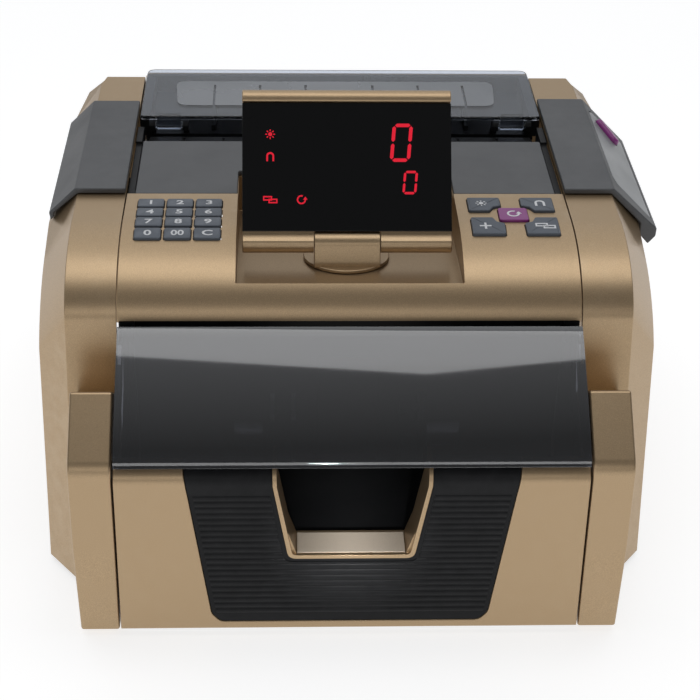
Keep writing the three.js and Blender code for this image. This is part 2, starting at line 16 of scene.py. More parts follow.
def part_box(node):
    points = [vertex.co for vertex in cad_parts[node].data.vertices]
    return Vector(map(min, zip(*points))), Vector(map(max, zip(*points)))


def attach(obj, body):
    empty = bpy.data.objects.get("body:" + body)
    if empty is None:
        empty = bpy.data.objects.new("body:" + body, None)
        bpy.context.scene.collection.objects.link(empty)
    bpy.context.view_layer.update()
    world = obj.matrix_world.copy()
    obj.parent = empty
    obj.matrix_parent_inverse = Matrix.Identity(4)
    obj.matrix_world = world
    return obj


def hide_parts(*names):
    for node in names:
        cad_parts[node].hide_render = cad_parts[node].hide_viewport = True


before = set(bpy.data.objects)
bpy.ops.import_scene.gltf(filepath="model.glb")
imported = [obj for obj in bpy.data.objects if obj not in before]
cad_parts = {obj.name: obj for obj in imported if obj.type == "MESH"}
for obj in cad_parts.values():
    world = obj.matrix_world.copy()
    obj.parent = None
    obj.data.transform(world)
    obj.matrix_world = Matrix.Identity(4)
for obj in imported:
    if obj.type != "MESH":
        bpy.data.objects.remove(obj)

LOG = logging.getLogger("counter")
Outline = list[tuple[float, float]]
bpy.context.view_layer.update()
SMALLEST_EDGE = 2e-3
FLATTEST_TURN = 0.4


class Axis(Enum):
    """Direction in which an outline is pushed into a slab."""

    X = 0
    Y = 1
    Z = 2


class Op(Enum):
    """How a second solid changes the first."""

    CUT = "DIFFERENCE"
    JOIN = "UNION"
    KEEP = "INTERSECT"


# ------------------------------------------------------------------ outlines
def arc(centre: tuple[float, float], radius: float, start: float, stop: float, steps: int = 8) -> Outline:
    """Points of an arc.

    Args:
        centre: middle of the arc.
        radius: its radius.
        start: first angle in degrees.
        stop: last angle in degrees.
        steps: number of chords.

    Returns:
        The points from start to stop.
    """
    turns = [math.radians(start + (stop - start) * i / steps) for i in range(steps + 1)]
    return [(centre[0] + radius * math.cos(t), centre[1] + radius * math.sin(t)) for t in turns]


def bezier(points: Outline, steps: int = 24) -> Outline:
    """Points of a cubic curve.

    Args:
        points: its four control points.
        steps: number of chords.

    Returns:
        The points from the first to the last control point.
    """
    result = []
    for i in range(steps + 1):
        t = i / steps
        weights = ((1 - t) ** 3, 3 * t * (1 - t) ** 2, 3 * t * t * (1 - t), t ** 3)
        result.append(tuple(sum(w * p[k] for w, p in zip(weights, points)) for k in (0, 1)))
    return result


def offset_path(points: Outline, distance: float) -> Outline:
    """Points of an open path moved sideways, to the right of its direction.

    Args:
        points: the path.
        distance: how far each point moves.

    Returns:
        The moved path.
    """
    moved = []
    for i, point in enumerate(points):
        before = Vector(points[max(i - 1, 0)])
        after = Vector(points[min(i + 1, len(points) - 1)])
        way = (after - before).normalized()
        moved.append((point[0] + distance * way.y, point[1] - distance * way.x))
    return moved


def fillet(points: Outline, radius: float | list[float], steps: int = 5) -> Outline:
    """A closed outline with its corners rounded.

    Args:
        points: the sharp corners.
        radius: one radius, or one for each corner.
        steps: chords at each corner.

    Returns:
        The rounded outline.
    """
    radii = radius if isinstance(radius, list) else [radius] * len(points)
    result = []
    for i, point in enumerate(points):
        corner = Vector(point)
        back = (Vector(points[i - 1]) - corner)
        ahead = (Vector(points[(i + 1) % len(points)]) - corner)
        half = back.angle(ahead) / 2
        if radii[i] <= 0 or half > math.radians(89):
            result.append(point)
            continue
        reach = min(radii[i] / math.tan(half), 0.48 * back.length, 0.48 * ahead.length)
        first = corner + back.normalized() * reach
        last = corner + ahead.normalized() * reach
        for k in range(steps + 1):
            t = k / steps
            bend = (1 - t) ** 2 * first + 2 * t * (1 - t) * corner + t * t * last
            result.append((bend.x, bend.y))
    return result


def rectangle(width: float, depth: float) -> Outline:
    """Corners of a rectangle about the origin."""
    return [(-width / 2, -depth / 2), (width / 2, -depth / 2), (width / 2, depth / 2),
            (-width / 2, depth / 2)]


def mirrored(points: Outline) -> Outline:
    """The outline reflected in the middle plane."""
    return [(-a, b) for a, b in points]


def pair(near: float, far: float) -> list[tuple[float, float]]:
    """The range of X from near to far on the left and on the right, low end first."""
    return [(-far, -near), (near, far)]


def anticlockwise(outline: Outline) -> Outline:
    """The outline, turned round if it runs clockwise."""
    area = sum(a[0] * b[1] - b[0] * a[1] for a, b in zip(outline, outline[1:] + outline[:1]))
    return outline[::-1] if area < 0 else outline


# ------------------------------------------------------------------ solids
def slab(outline: Outline, start: float, stop: float, axis: Axis) -> bmesh.types.BMesh:
    """A closed solid made by pushing an outline along an axis.

    Args:
        outline: points in the plane across the axis, in X, Y, Z order.
        start: where the solid starts on the axis.
        stop: where it ends.
        axis: the direction.

    Returns:
        The solid.
    """
    mesh = bmesh.new()
    spots = []
    for a, b in outline:
        place = [a, b]
        place.insert(axis.value, start)
        spots.append(mesh.verts.new(place))
    face = mesh.faces.new(spots)
    pushed = bmesh.ops.extrude_face_region(mesh, geom=[face])
    shift = Vector((0, 0, 0))
    shift[axis.value] = stop - start
    moved = [item for item in pushed["geom"] if isinstance(item, bmesh.types.BMVert)]
    bmesh.ops.translate(mesh, verts=moved, vec=shift)
    bmesh.ops.recalc_face_normals(mesh, faces=mesh.faces)
    return mesh


def block(low: tuple[float, float, float], high: tuple[float, float, float]) -> bmesh.types.BMesh:
    """A box between two corners."""
    outline = [(low[0], low[1]), (high[0], low[1]), (high[0], high[1]), (low[0], high[1])]
    return slab(outline, low[2], high[2], Axis.Z)


def rod(radius: float, start: float, stop: float, middle: tuple[float, float], axis: Axis = Axis.X,
        sides: int = 48) -> bmesh.types.BMesh:
    """A round bar along an axis, through a point of the plane across it."""
    return slab(arc(middle, radius, 0, 360 - 360 / sides, sides - 1), start, stop, axis)


def ring(profile: Outline, middle: tuple[float, float], axis: Axis = Axis.X,
         sides: int = 64) -> bmesh.types.BMesh:
    """A turned piece.

    Args:
        profile: closed outline of (place along the axis, radius).
        middle: where the axis passes through the plane across it.
        axis: direction of the axis, X or Z.
        sides: steps of the spin.

    Returns:
        The solid.
    """
    mesh = bmesh.new()
    across = 1 if axis is Axis.X else 0
    spots = []
    for along, radius in profile:
        place = Vector((0, 0, 0))
        place[axis.value] = along
        place[across] = radius
        spots.append(mesh.verts.new(place))
    edges = [mesh.edges.new((spots[i - 1], spots[i])) for i in range(len(spots))]
    line = Vector((0, 0, 0))
    line[axis.value] = 1
    bmesh.ops.spin(mesh, geom=spots + edges, cent=(0, 0, 0), axis=line, angle=math.tau, steps=sides,
                   use_merge=True)
    shift = list(middle)
    shift.insert(axis.value, 0)
    bmesh.ops.remove_doubles(mesh, verts=mesh.verts, dist=1e-4)
    bmesh.ops.translate(mesh, verts=mesh.verts, vec=shift)
    bmesh.ops.recalc_face_normals(mesh, faces=mesh.faces)
    return mesh


def turned(mesh: bmesh.types.BMesh, matrix: Matrix) -> bmesh.types.BMesh:
    """The solid moved by a matrix."""
    bmesh.ops.transform(mesh, matrix=matrix, verts=mesh.verts)
    return mesh


def gathered(*meshes: bmesh.types.BMesh) -> bmesh.types.BMesh:
    """Separate solids put into one mesh without joining them."""
    total = bmesh.new()
    for mesh in meshes:
        data = bpy.data.meshes.new("gathered")
        mesh.to_mesh(data)
        total.from_mesh(data)
        bpy.data.meshes.remove(data)
        mesh.free()
    return total


def temporary(mesh: bmesh.types.BMesh) -> bpy.types.Object:
    """A scratch object that holds the mesh while a modifier works on it."""
    data = bpy.data.meshes.new("scratch")
    mesh.to_mesh(data)
    mesh.free()
    scratch = bpy.data.objects.new("scratch", data)
    bpy.context.scene.collection.objects.link(scratch)
    return scratch


def baked(holder: bpy.types.Object) -> bmesh.types.BMesh:
    """The shape that an object's modifiers or text give; the object is removed."""
    evaluated = holder.evaluated_get(bpy.context.evaluated_depsgraph_get())
    mesh = bmesh.new()
    mesh.from_mesh(evaluated.to_mesh())
    evaluated.to_mesh_clear()
    data = holder.data
    store = bpy.data.meshes if isinstance(data, bpy.types.Mesh) else bpy.data.curves
    bpy.data.objects.remove(holder)
    store.remove(data)
    return mesh


def carve(first: bmesh.types.BMesh, second: bmesh.types.BMesh, how: Op = Op.CUT) -> bmesh.types.BMesh:
    """One solid cut by, joined to or kept inside another.

    Args:
        first: the solid that stays.
        second: the tool.
        how: what the tool does.

    Returns:
        The new solid.
    """
    work = temporary(first)
    tool = temporary(second)
    modifier = work.modifiers.new("carve", "BOOLEAN")
    modifier.operation = how.value
    modifier.solver = "EXACT"
    modifier.object = tool
    result = baked(work)
    tool_data = tool.data
    bpy.data.objects.remove(tool)
    bpy.data.meshes.remove(tool_data)
    bmesh.ops.remove_doubles(result, verts=result.verts, dist=SMALLEST_EDGE)
    bmesh.ops.dissolve_limit(result, angle_limit=math.radians(FLATTEST_TURN), verts=result.verts,
                             edges=result.edges)
    return result


def soften(mesh: bmesh.types.BMesh, width: float, segments: int = 3,
           sharper_than: float = 30) -> bmesh.types.BMesh:
    """The solid with its sharp edges rounded.

    Args:
        mesh: the solid.
        width: size of the rounding.
        segments: steps across it.
        sharper_than: only edges that turn by more degrees than this.

    Returns:
        The same solid.
    """
    limit = math.radians(sharper_than)
    edges = [edge for edge in mesh.edges if len(edge.link_faces) == 2 and edge.calc_face_angle() > limit]
    bmesh.ops.bevel(mesh, geom=edges, offset=width, offset_type="OFFSET", segments=segments, profile=0.5,
                    affect="EDGES", clamp_overlap=True, material=-1)
    return mesh


class Workbench:
    """Holds the machine's datum and turns finished solids into pieces that ride on the frame."""

    def __init__(self) -> None:
        """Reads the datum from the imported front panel."""
        low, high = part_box("front_panel")
        self.middle = (low[0] + high[0]) / 2
        self.front = low[1]
        self.place = Matrix.Translation((self.middle, self.front, 0)) @ Matrix.Scale(0.001, 4)

    def world(self, x: float, y: float, z: float) -> Vector:
        """The shared-frame point of a place on the machine's datum."""
        return self.place @ Vector((x, y, z))

    def finish(self, name: str, mesh: bmesh.types.BMesh, material: bpy.types.Material, body: str, slot: str,
               nodes: tuple[str, ...] = (), smooth: float = 32) -> bpy.types.Object:
        """Makes the solid a piece of the machine.

        Args:
            name: the piece's name.
            mesh: the solid, on the datum.
            material: its finish.
            body: the CAD body it rides on.
            slot: the record's material slot; not used.
            nodes: the CAD nodes that it stands for.
            smooth: edges that turn by less than this many degrees are shaded smooth.

        Returns:
            The piece.
        """
        turned(mesh, self.place)
        data = bpy.data.meshes.new(name)
        mesh.to_mesh(data)
        mesh.free()
        data.shade_smooth()
        data.set_sharp_from_angle(angle=math.radians(smooth))
        data.materials.append(material)
        piece = bpy.data.objects.new(name, data)
        bpy.context.scene.collection.objects.link(piece)
        shading = piece.modifiers.new("even_shading", "WEIGHTED_NORMAL")
        shading.keep_sharp = True
        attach(piece, body)
        if nodes:
            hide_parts(*nodes)
        LOG.info("%s: %d faces, rides on %s", name, len(data.polygons), body)
        return piece


# ------------------------------------------------------------------ finishes
class NodeTree:
    """Short hand for adding and joining shader nodes."""

    def __init__(self, tree: bpy.types.NodeTree) -> None:
        """Wraps a node tree."""
        self.tree = tree

    def add(self, kind: str, inputs: dict | None = None, **settings: object) -> bpy.types.Node:
        """Adds a node.

        Args:
            kind: its type.
            inputs: input name or number to a value or to another node's output.
            settings: attributes of the node.

        Returns:
            The node.
        """
        node = self.tree.nodes.new(kind)
        for name, value in settings.items():
            setattr(node, name, value)
        for name, value in (inputs or {}).items():
            if isinstance(value, bpy.types.NodeSocket):
                self.tree.links.new(value, node.inputs[name])
            else:
                node.inputs[name].default_value = value
        return node

    def math(self, how: str, first: object, second: object = 0.0) -> bpy.types.NodeSocket:
        """The output of a Math node."""
        return self.add("ShaderNodeMath", {0: first, 1: second}, operation=how).outputs[0]

    def mix(self, factor: object, first: object, second: object) -> bpy.types.NodeSocket:
        """The output of a colour Mix node."""
        return self.add("ShaderNodeMix", {0: factor, 6: first, 7: second}, data_type="RGBA").outputs[2]


def new_group(name: str, inputs: dict[str, float], outputs: tuple[str, ...]) -> tuple[NodeTree, dict, dict]:
    """Starts a shader group.

    Args:
        name: the group's name.
        inputs: names and default values of its number inputs.
        outputs: names of its number outputs.

    Returns:
        Its tree, its input sockets by name and the sockets that its results go to.
    """
    tree = bpy.data.node_groups.new(name, "ShaderNodeTree")
    for label, value in inputs.items():
        socket = tree.interface.new_socket(name=label, in_out="INPUT", socket_type="NodeSocketFloat")
        socket.default_value = value
    for label in outputs:
        tree.interface.new_socket(name=label, in_out="OUTPUT", socket_type="NodeSocketFloat")
    start = tree.nodes.new("NodeGroupInput")
    end = tree.nodes.new("NodeGroupOutput")
    given = {s.name: s for s in start.outputs if s.name}
    wanted = {s.name: s for s in end.inputs if s.name}
    return NodeTree(tree), given, wanted


def grain_group() -> bpy.types.NodeTree:
    """Fine moulded grain and slow mottling, both on Object coordinates."""
    nodes, given, result = new_group("grain", {"Grain Size": 0.3, "Mottle Size": 30.0}, ("Grain", "Mottle"))
    spot = nodes.add("ShaderNodeTexCoord").outputs["Object"]
    fine = nodes.math("DIVIDE", 1000.0, given["Grain Size"])
    slow = nodes.math("DIVIDE", 1000.0, given["Mottle Size"])
    small = nodes.add("ShaderNodeTexNoise", {"Vector": spot, "Scale": fine, "Detail": 2.0, "Roughness": 0.6})
    large = nodes.add("ShaderNodeTexNoise", {"Vector": spot, "Scale": slow, "Detail": 4.0, "Roughness": 0.55})
    nodes.tree.links.new(small.outputs[0], result["Grain"])
    nodes.tree.links.new(large.outputs[0], result["Mottle"])
    return nodes.tree


def wear_and_highlight_group() -> bpy.types.NodeTree:
    """Mask of rubbed edges, broken up by noise; on the gold paint its lighter edges are also a painted
    highlight.
    """
    nodes, given, result = new_group("edge_wear_and_highlight", {"Amount": 0.5, "Patch Size": 6.0}, ("Mask",))
    point = nodes.add("ShaderNodeNewGeometry").outputs["Pointiness"]
    edge = nodes.add("ShaderNodeMapRange", {"Value": point, "From Min": 0.52, "From Max": 0.62}).outputs[0]
    spot = nodes.add("ShaderNodeTexCoord").outputs["Object"]
    scale = nodes.math("DIVIDE", 1000.0, given["Patch Size"])
    patch = nodes.add("ShaderNodeTexNoise", {"Vector": spot, "Scale": scale, "Detail": 3.0}).outputs[0]
    broken = nodes.add("ShaderNodeMapRange", {"Value": patch, "From Min": 0.35, "From Max": 0.7}).outputs[0]
    mask = nodes.math("MULTIPLY", nodes.math("MULTIPLY", edge, broken), given["Amount"])
    nodes.tree.links.new(mask, result["Mask"])
    return nodes.tree


def dust_group() -> bpy.types.NodeTree:
    """Mask of thin dust on faces that look up."""
    nodes, given, result = new_group("dust", {"Amount": 0.1, "Patch Size": 18.0}, ("Mask",))
    normal = nodes.add("ShaderNodeNewGeometry").outputs["Normal"]
    height = nodes.add("ShaderNodeSeparateXYZ", {0: normal}).outputs[2]
    level = nodes.add("ShaderNodeMapRange", {"Value": height, "From Min": 0.6, "From Max": 1.0}).outputs[0]
    spot = nodes.add("ShaderNodeTexCoord").outputs["Object"]
    scale = nodes.math("DIVIDE", 1000.0, given["Patch Size"])
    patch = nodes.add("ShaderNodeTexNoise", {"Vector": spot, "Scale": scale, "Detail": 6.0}).outputs[0]
    mask = nodes.math("MULTIPLY", nodes.math("MULTIPLY", level, patch), given["Amount"])
    nodes.tree.links.new(mask, result["Mask"])
    return nodes.tree


class Effects:
    """The shared shader groups, each built once."""

    def __init__(self) -> None:
        """Builds the groups."""
        self.grain = grain_group()
        self.wear_and_highlight = wear_and_highlight_group()
        self.dust = dust_group()


Colour = tuple[float, float, float]


def opaque(colour: Colour) -> tuple[float, float, float, float]:
    """The colour with full alpha, as sockets want it."""
    return (*colour, 1.0)


@dataclass(frozen=True)
class Finish:
    """A moulded, painted or plated finish.

    Sizes of grain and mottling are in millimetres.
    """

    name: str
    colour: Colour
    second: Colour
    roughness: float
    metallic: float = 0.0
    coat: float = 0.0
    grain: float = 0.35
    depth: float = 0.02
    speckle: float = 0.08
    mottle: float = 30.0
    spread: float = 0.05
    wear_and_highlight: float = 0.0
    worn_and_highlit: Colour = (0.6, 0.55, 0.5)
    dust: float = 0.03
    specular: float = 0.5

    def material(self, effects: Effects) -> bpy.types.Material:
        """Builds the material.

        Args:
            effects: the shared shader groups.

        Returns:
            The material.
        """
        made = bpy.data.materials.new(self.name)
        made.use_nodes = True
        nodes = NodeTree(made.node_tree)
        shader = made.node_tree.nodes["Principled BSDF"]
        grain = nodes.add("ShaderNodeGroup", node_tree=effects.grain)
        grain.inputs["Grain Size"].default_value = self.grain
        grain.inputs["Mottle Size"].default_value = self.mottle
        colour = nodes.mix(grain.outputs["Mottle"], opaque(self.colour), opaque(self.second))
        sparkle = nodes.add("ShaderNodeMapRange", {"Value": grain.outputs["Grain"], "From Min": 0.35,
                                                   "From Max": 0.7, "To Min": 1.0 - self.speckle,
                                                   "To Max": 1.0 + self.speckle}).outputs[0]
        colour = nodes.add("ShaderNodeVectorMath", {0: colour, "Scale": sparkle},
                           operation="SCALE").outputs[0]
        rough = nodes.add("ShaderNodeMapRange",
                          {"Value": grain.outputs["Mottle"], "From Min": 0.3, "From Max": 0.7,
                           "To Min": self.roughness - self.spread,
                           "To Max": self.roughness + self.spread}).outputs[0]
        if self.wear_and_highlight:
            worn_and_highlit = nodes.add("ShaderNodeGroup", {"Amount": self.wear_and_highlight}, node_tree=effects.wear_and_highlight).outputs["Mask"]
            colour = nodes.mix(worn_and_highlit, colour, opaque(self.worn_and_highlit))
        if self.dust:
            dusty = nodes.add("ShaderNodeGroup", {"Amount": self.dust},
                              node_tree=effects.dust).outputs["Mask"]
            colour = nodes.mix(dusty, colour, opaque((0.55, 0.54, 0.52)))
            rough = nodes.math("ADD", rough, dusty)
        bump = nodes.add("ShaderNodeBump", {"Height": grain.outputs["Grain"], "Strength": 0.5,
                                            "Distance": self.depth / 1000})
        links = made.node_tree.links
        links.new(colour, shader.inputs["Base Color"])
        links.new(rough, shader.inputs["Roughness"])
        links.new(bump.outputs[0], shader.inputs["Normal"])
        shader.inputs["Metallic"].default_value = self.metallic
        shader.inputs["Coat Weight"].default_value = self.coat
        shader.inputs["Coat Roughness"].default_value = 0.25
        shader.inputs["Specular IOR Level"].default_value = self.specular
        return made


@dataclass(frozen=True)
class ClearFinish:
    """Smoked or clear acrylic, with faint wipe marks."""

    name: str
    tint: Colour
    second: Colour
    roughness: float
    coat: float = 0.0
    coat_index: float = 1.8
    transmission: float = 1.0
    index: float = 1.49

    def material(self, effects: Effects) -> bpy.types.Material:
        """Builds the material from the shared groups and returns it."""
        made = bpy.data.materials.new(self.name)
        made.use_nodes = True
        nodes = NodeTree(made.node_tree)
        shader = made.node_tree.nodes["Principled BSDF"]
        grain = nodes.add("ShaderNodeGroup", {"Grain Size": 1.5, "Mottle Size": 45.0},
                          node_tree=effects.grain)
        colour = nodes.mix(grain.outputs["Mottle"], opaque(self.tint), opaque(self.second))
        rough = nodes.add("ShaderNodeMapRange",
                          {"Value": grain.outputs["Mottle"], "From Min": 0.35, "From Max": 0.75,
                           "To Min": self.roughness * 0.6,
                           "To Max": self.roughness * 1.6}).outputs[0]
        made.node_tree.links.new(colour, shader.inputs["Base Color"])
        made.node_tree.links.new(rough, shader.inputs["Roughness"])
        shader.inputs["Transmission Weight"].default_value = self.transmission
        shader.inputs["IOR"].default_value = self.index
        shader.inputs["Coat Weight"].default_value = self.coat
        shader.inputs["Coat IOR"].default_value = self.coat_index
        shader.inputs["Coat Roughness"].default_value = self.roughness
        return made


@dataclass(frozen=True)
class GlowFinish:
    """A lit display segment with uneven brightness."""

    name: str
    bright: Colour
    dim: Colour
    strength: float

    def material(self, effects: Effects) -> bpy.types.Material:
        """Builds the material from the shared groups and returns it."""
        made = bpy.data.materials.new(self.name)
        made.use_nodes = True
        nodes = NodeTree(made.node_tree)
        shader = made.node_tree.nodes["Principled BSDF"]
        grain = nodes.add("ShaderNodeGroup", {"Grain Size": 0.4, "Mottle Size": 5.0}, node_tree=effects.grain)
        glow = nodes.mix(grain.outputs["Grain"], opaque(self.dim), opaque(self.bright))
        made.node_tree.links.new(glow, shader.inputs["Emission Color"])
        made.node_tree.links.new(glow, shader.inputs["Base Color"])
        shader.inputs["Emission Strength"].default_value = self.strength
        shader.inputs["Roughness"].default_value = 0.4
        return made


class Palette:
    """Every material of the machine."""

    def __init__(self) -> None:
        """Builds the materials."""
        effects = Effects()
        finishes = {
            # The gold's lighter edge colour is partly rubbed paint and partly a painted highlight along its
            # edges.
            "gold": Finish("champagne_paint", (0.45, 0.322, 0.192), (0.444, 0.317, 0.188), 0.37, metallic=0.8,
                           coat=0.05, grain=0.3, depth=0.012, speckle=0.16, mottle=90, spread=0.006,
                           wear_and_highlight=0.12, worn_and_highlit=(0.70, 0.60, 0.46), dust=0.006),
            "grey": Finish("grey_moulding", (0.095, 0.098, 0.103), (0.088, 0.091, 0.096), 0.46, grain=0.45,
                           depth=0.03, speckle=0.10, wear_and_highlight=0.2, worn_and_highlit=(0.3, 0.3, 0.31), dust=0.04,
                           specular=0.4),
            "black": Finish("black_moulding", (0.0085, 0.0088, 0.0098), (0.007, 0.0073, 0.0082), 0.42,
                            grain=0.4, depth=0.02, speckle=0.12, wear_and_highlight=0.15, worn_and_highlit=(0.05, 0.05, 0.055),
                            dust=0.012, specular=0.16),
            # Paler, less metallic copy of the gold paint for the finger ledge: painted light on a ledge that
            # the hood shades.
            "ledge": Finish("ledge_paint_painted_light", (0.70, 0.60, 0.48), (0.67, 0.57, 0.455), 0.42, metallic=0.1,
                            grain=0.3, speckle=0.06, mottle=60, dust=0.02),
            "plate": Finish("satin_grey_plate", (0.27, 0.28, 0.29), (0.25, 0.26, 0.27), 0.36, metallic=0.3,
                            grain=0.3, speckle=0.06, dust=0.03),
            "key": Finish("grey_key_cap", (0.105, 0.122, 0.148), (0.095, 0.11, 0.135), 0.42, grain=0.25,
                          depth=0.012, speckle=0.05, wear_and_highlight=0.25, worn_and_highlit=(0.3, 0.32, 0.36), dust=0.03,
                          specular=0.35),
            "mark": Finish("white_marking", (0.74, 0.75, 0.76), (0.66, 0.67, 0.69), 0.5, grain=0.2,
                           depth=0.005, speckle=0.05, dust=0.0),
            "purple": Finish("purple_cap", (0.26, 0.030, 0.22), (0.23, 0.026, 0.19), 0.34, coat=0.15,
                             grain=0.25, depth=0.01, speckle=0.05, wear_and_highlight=0.2, worn_and_highlit=(0.5, 0.2, 0.45),
                             dust=0.02),
            "screen": Finish("display_glass", (0.0022, 0.0022, 0.0025), (0.0016, 0.0016, 0.0018), 0.10,
                             grain=0.8, depth=0.0, speckle=0.05, spread=0.02, dust=0.002, specular=0.4),
            "steel": Finish("plated_steel", (0.52, 0.52, 0.51), (0.45, 0.45, 0.45), 0.34, metallic=0.95,
                            grain=0.2, depth=0.01, speckle=0.08, spread=0.07, wear_and_highlight=0.2, dust=0.04),
            "rubber": Finish("roller_rubber", (0.022, 0.022, 0.023), (0.035, 0.035, 0.036), 0.75, grain=0.5,
                             depth=0.05, speckle=0.2, dust=0.12, specular=0.25),
            "board": Finish("circuit_board_lacquer", (0.012, 0.11, 0.045), (0.018, 0.14, 0.06), 0.35,
                            grain=0.8, depth=0.03, speckle=0.2, dust=0.05),
        }
        self.made = {name: finish.material(effects) for name, finish in finishes.items()}
        clear = {
            "hood": ClearFinish("smoked_hood_acrylic", (0.085, 0.09, 0.11), (0.078, 0.083, 0.10), 0.045,
                                coat=1.0),
            # Pale translucent panes in the lid: painted light standing in for the lit tray seen through the
            # lid.
            "frost": ClearFinish("lid_panes_painted_light", (0.42, 0.44, 0.47), (0.38, 0.40, 0.43), 0.35,
                                 transmission=0.45),
            "tab": ClearFinish("clear_tab_acrylic", (0.80, 0.83, 0.88), (0.74, 0.77, 0.82), 0.06, coat=0.5),
            "lid": ClearFinish("smoked_lid_acrylic", (0.62, 0.67, 0.76), (0.57, 0.62, 0.71), 0.07),
        }
        self.made.update({name: finish.material(effects) for name, finish in clear.items()})
        glow = GlowFinish("red_segment", (0.56, 0.006, 0.022), (0.46, 0.005, 0.018), 0.85)
        self.made["glow"] = glow.material(effects)

    def __getitem__(self, name: str) -> bpy.types.Material:
        """The material of that short name."""
        return self.made[name]


# ------------------------------------------------------------------ shape shared by the casings
@dataclass(frozen=True)
class Body:
    """Driving sizes that several casings share."""

    seam: float = 103.5
    gap: float = 0.3
    wall: float = 2.5
    deck: float = 156.6
    depth: float = 279.0
    foot: float = 3.0
    cover_start: float = 134.0
    cover_end: float = 194.0
    bay_half: float = 51.0
    bay_front: float = 70.6
    bay_back: float = 159.0
    bay_z: float = 143.0
    bay_slope: float = 5.0

    def deck_curve(self, steps: int = 40) -> Outline:
        """The top panel's outer profile in (Y, Z), from its lower lip to the flat deck."""
        return bezier([(57.4, 131.2), (60.0, 144.5), (78.0, 156.4), (106.0, self.deck)], steps)

    def deck_at(self, y: float) -> tuple[float, float]:
        """Height of the top surface at y, and its slope in radians."""
        curve = self.deck_curve(200)
        for first, second in zip(curve, curve[1:]):
            if first[0] <= y <= second[0]:
                share = (y - first[0]) / (second[0] - first[0])
                rise = second[1] - first[1]
                return first[1] + share * rise, math.atan2(rise, second[0] - first[0])
        return self.deck, 0.0

    def bay_floor(self, y: float) -> float:
        """Height of the sunk display bay's floor at y."""
        return self.bay_z - (y - self.bay_front) * math.tan(math.radians(self.bay_slope))


BODY = Body()


@dataclass
class Assembly:
    """Pieces that are made together."""

    bench: Workbench
    palette: Palette

    def dress(self, slots: dict[str, str]) -> None:
        """Gives carried-over CAD nodes their finish.

        Args:
            slots: node name to the short name of its material.
        """
        for node, short in slots.items():
            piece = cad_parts[node]
            for slot in piece.material_slots:
                slot.material = self.palette[short]
            LOG.info("dressed %s in %s", node, short)


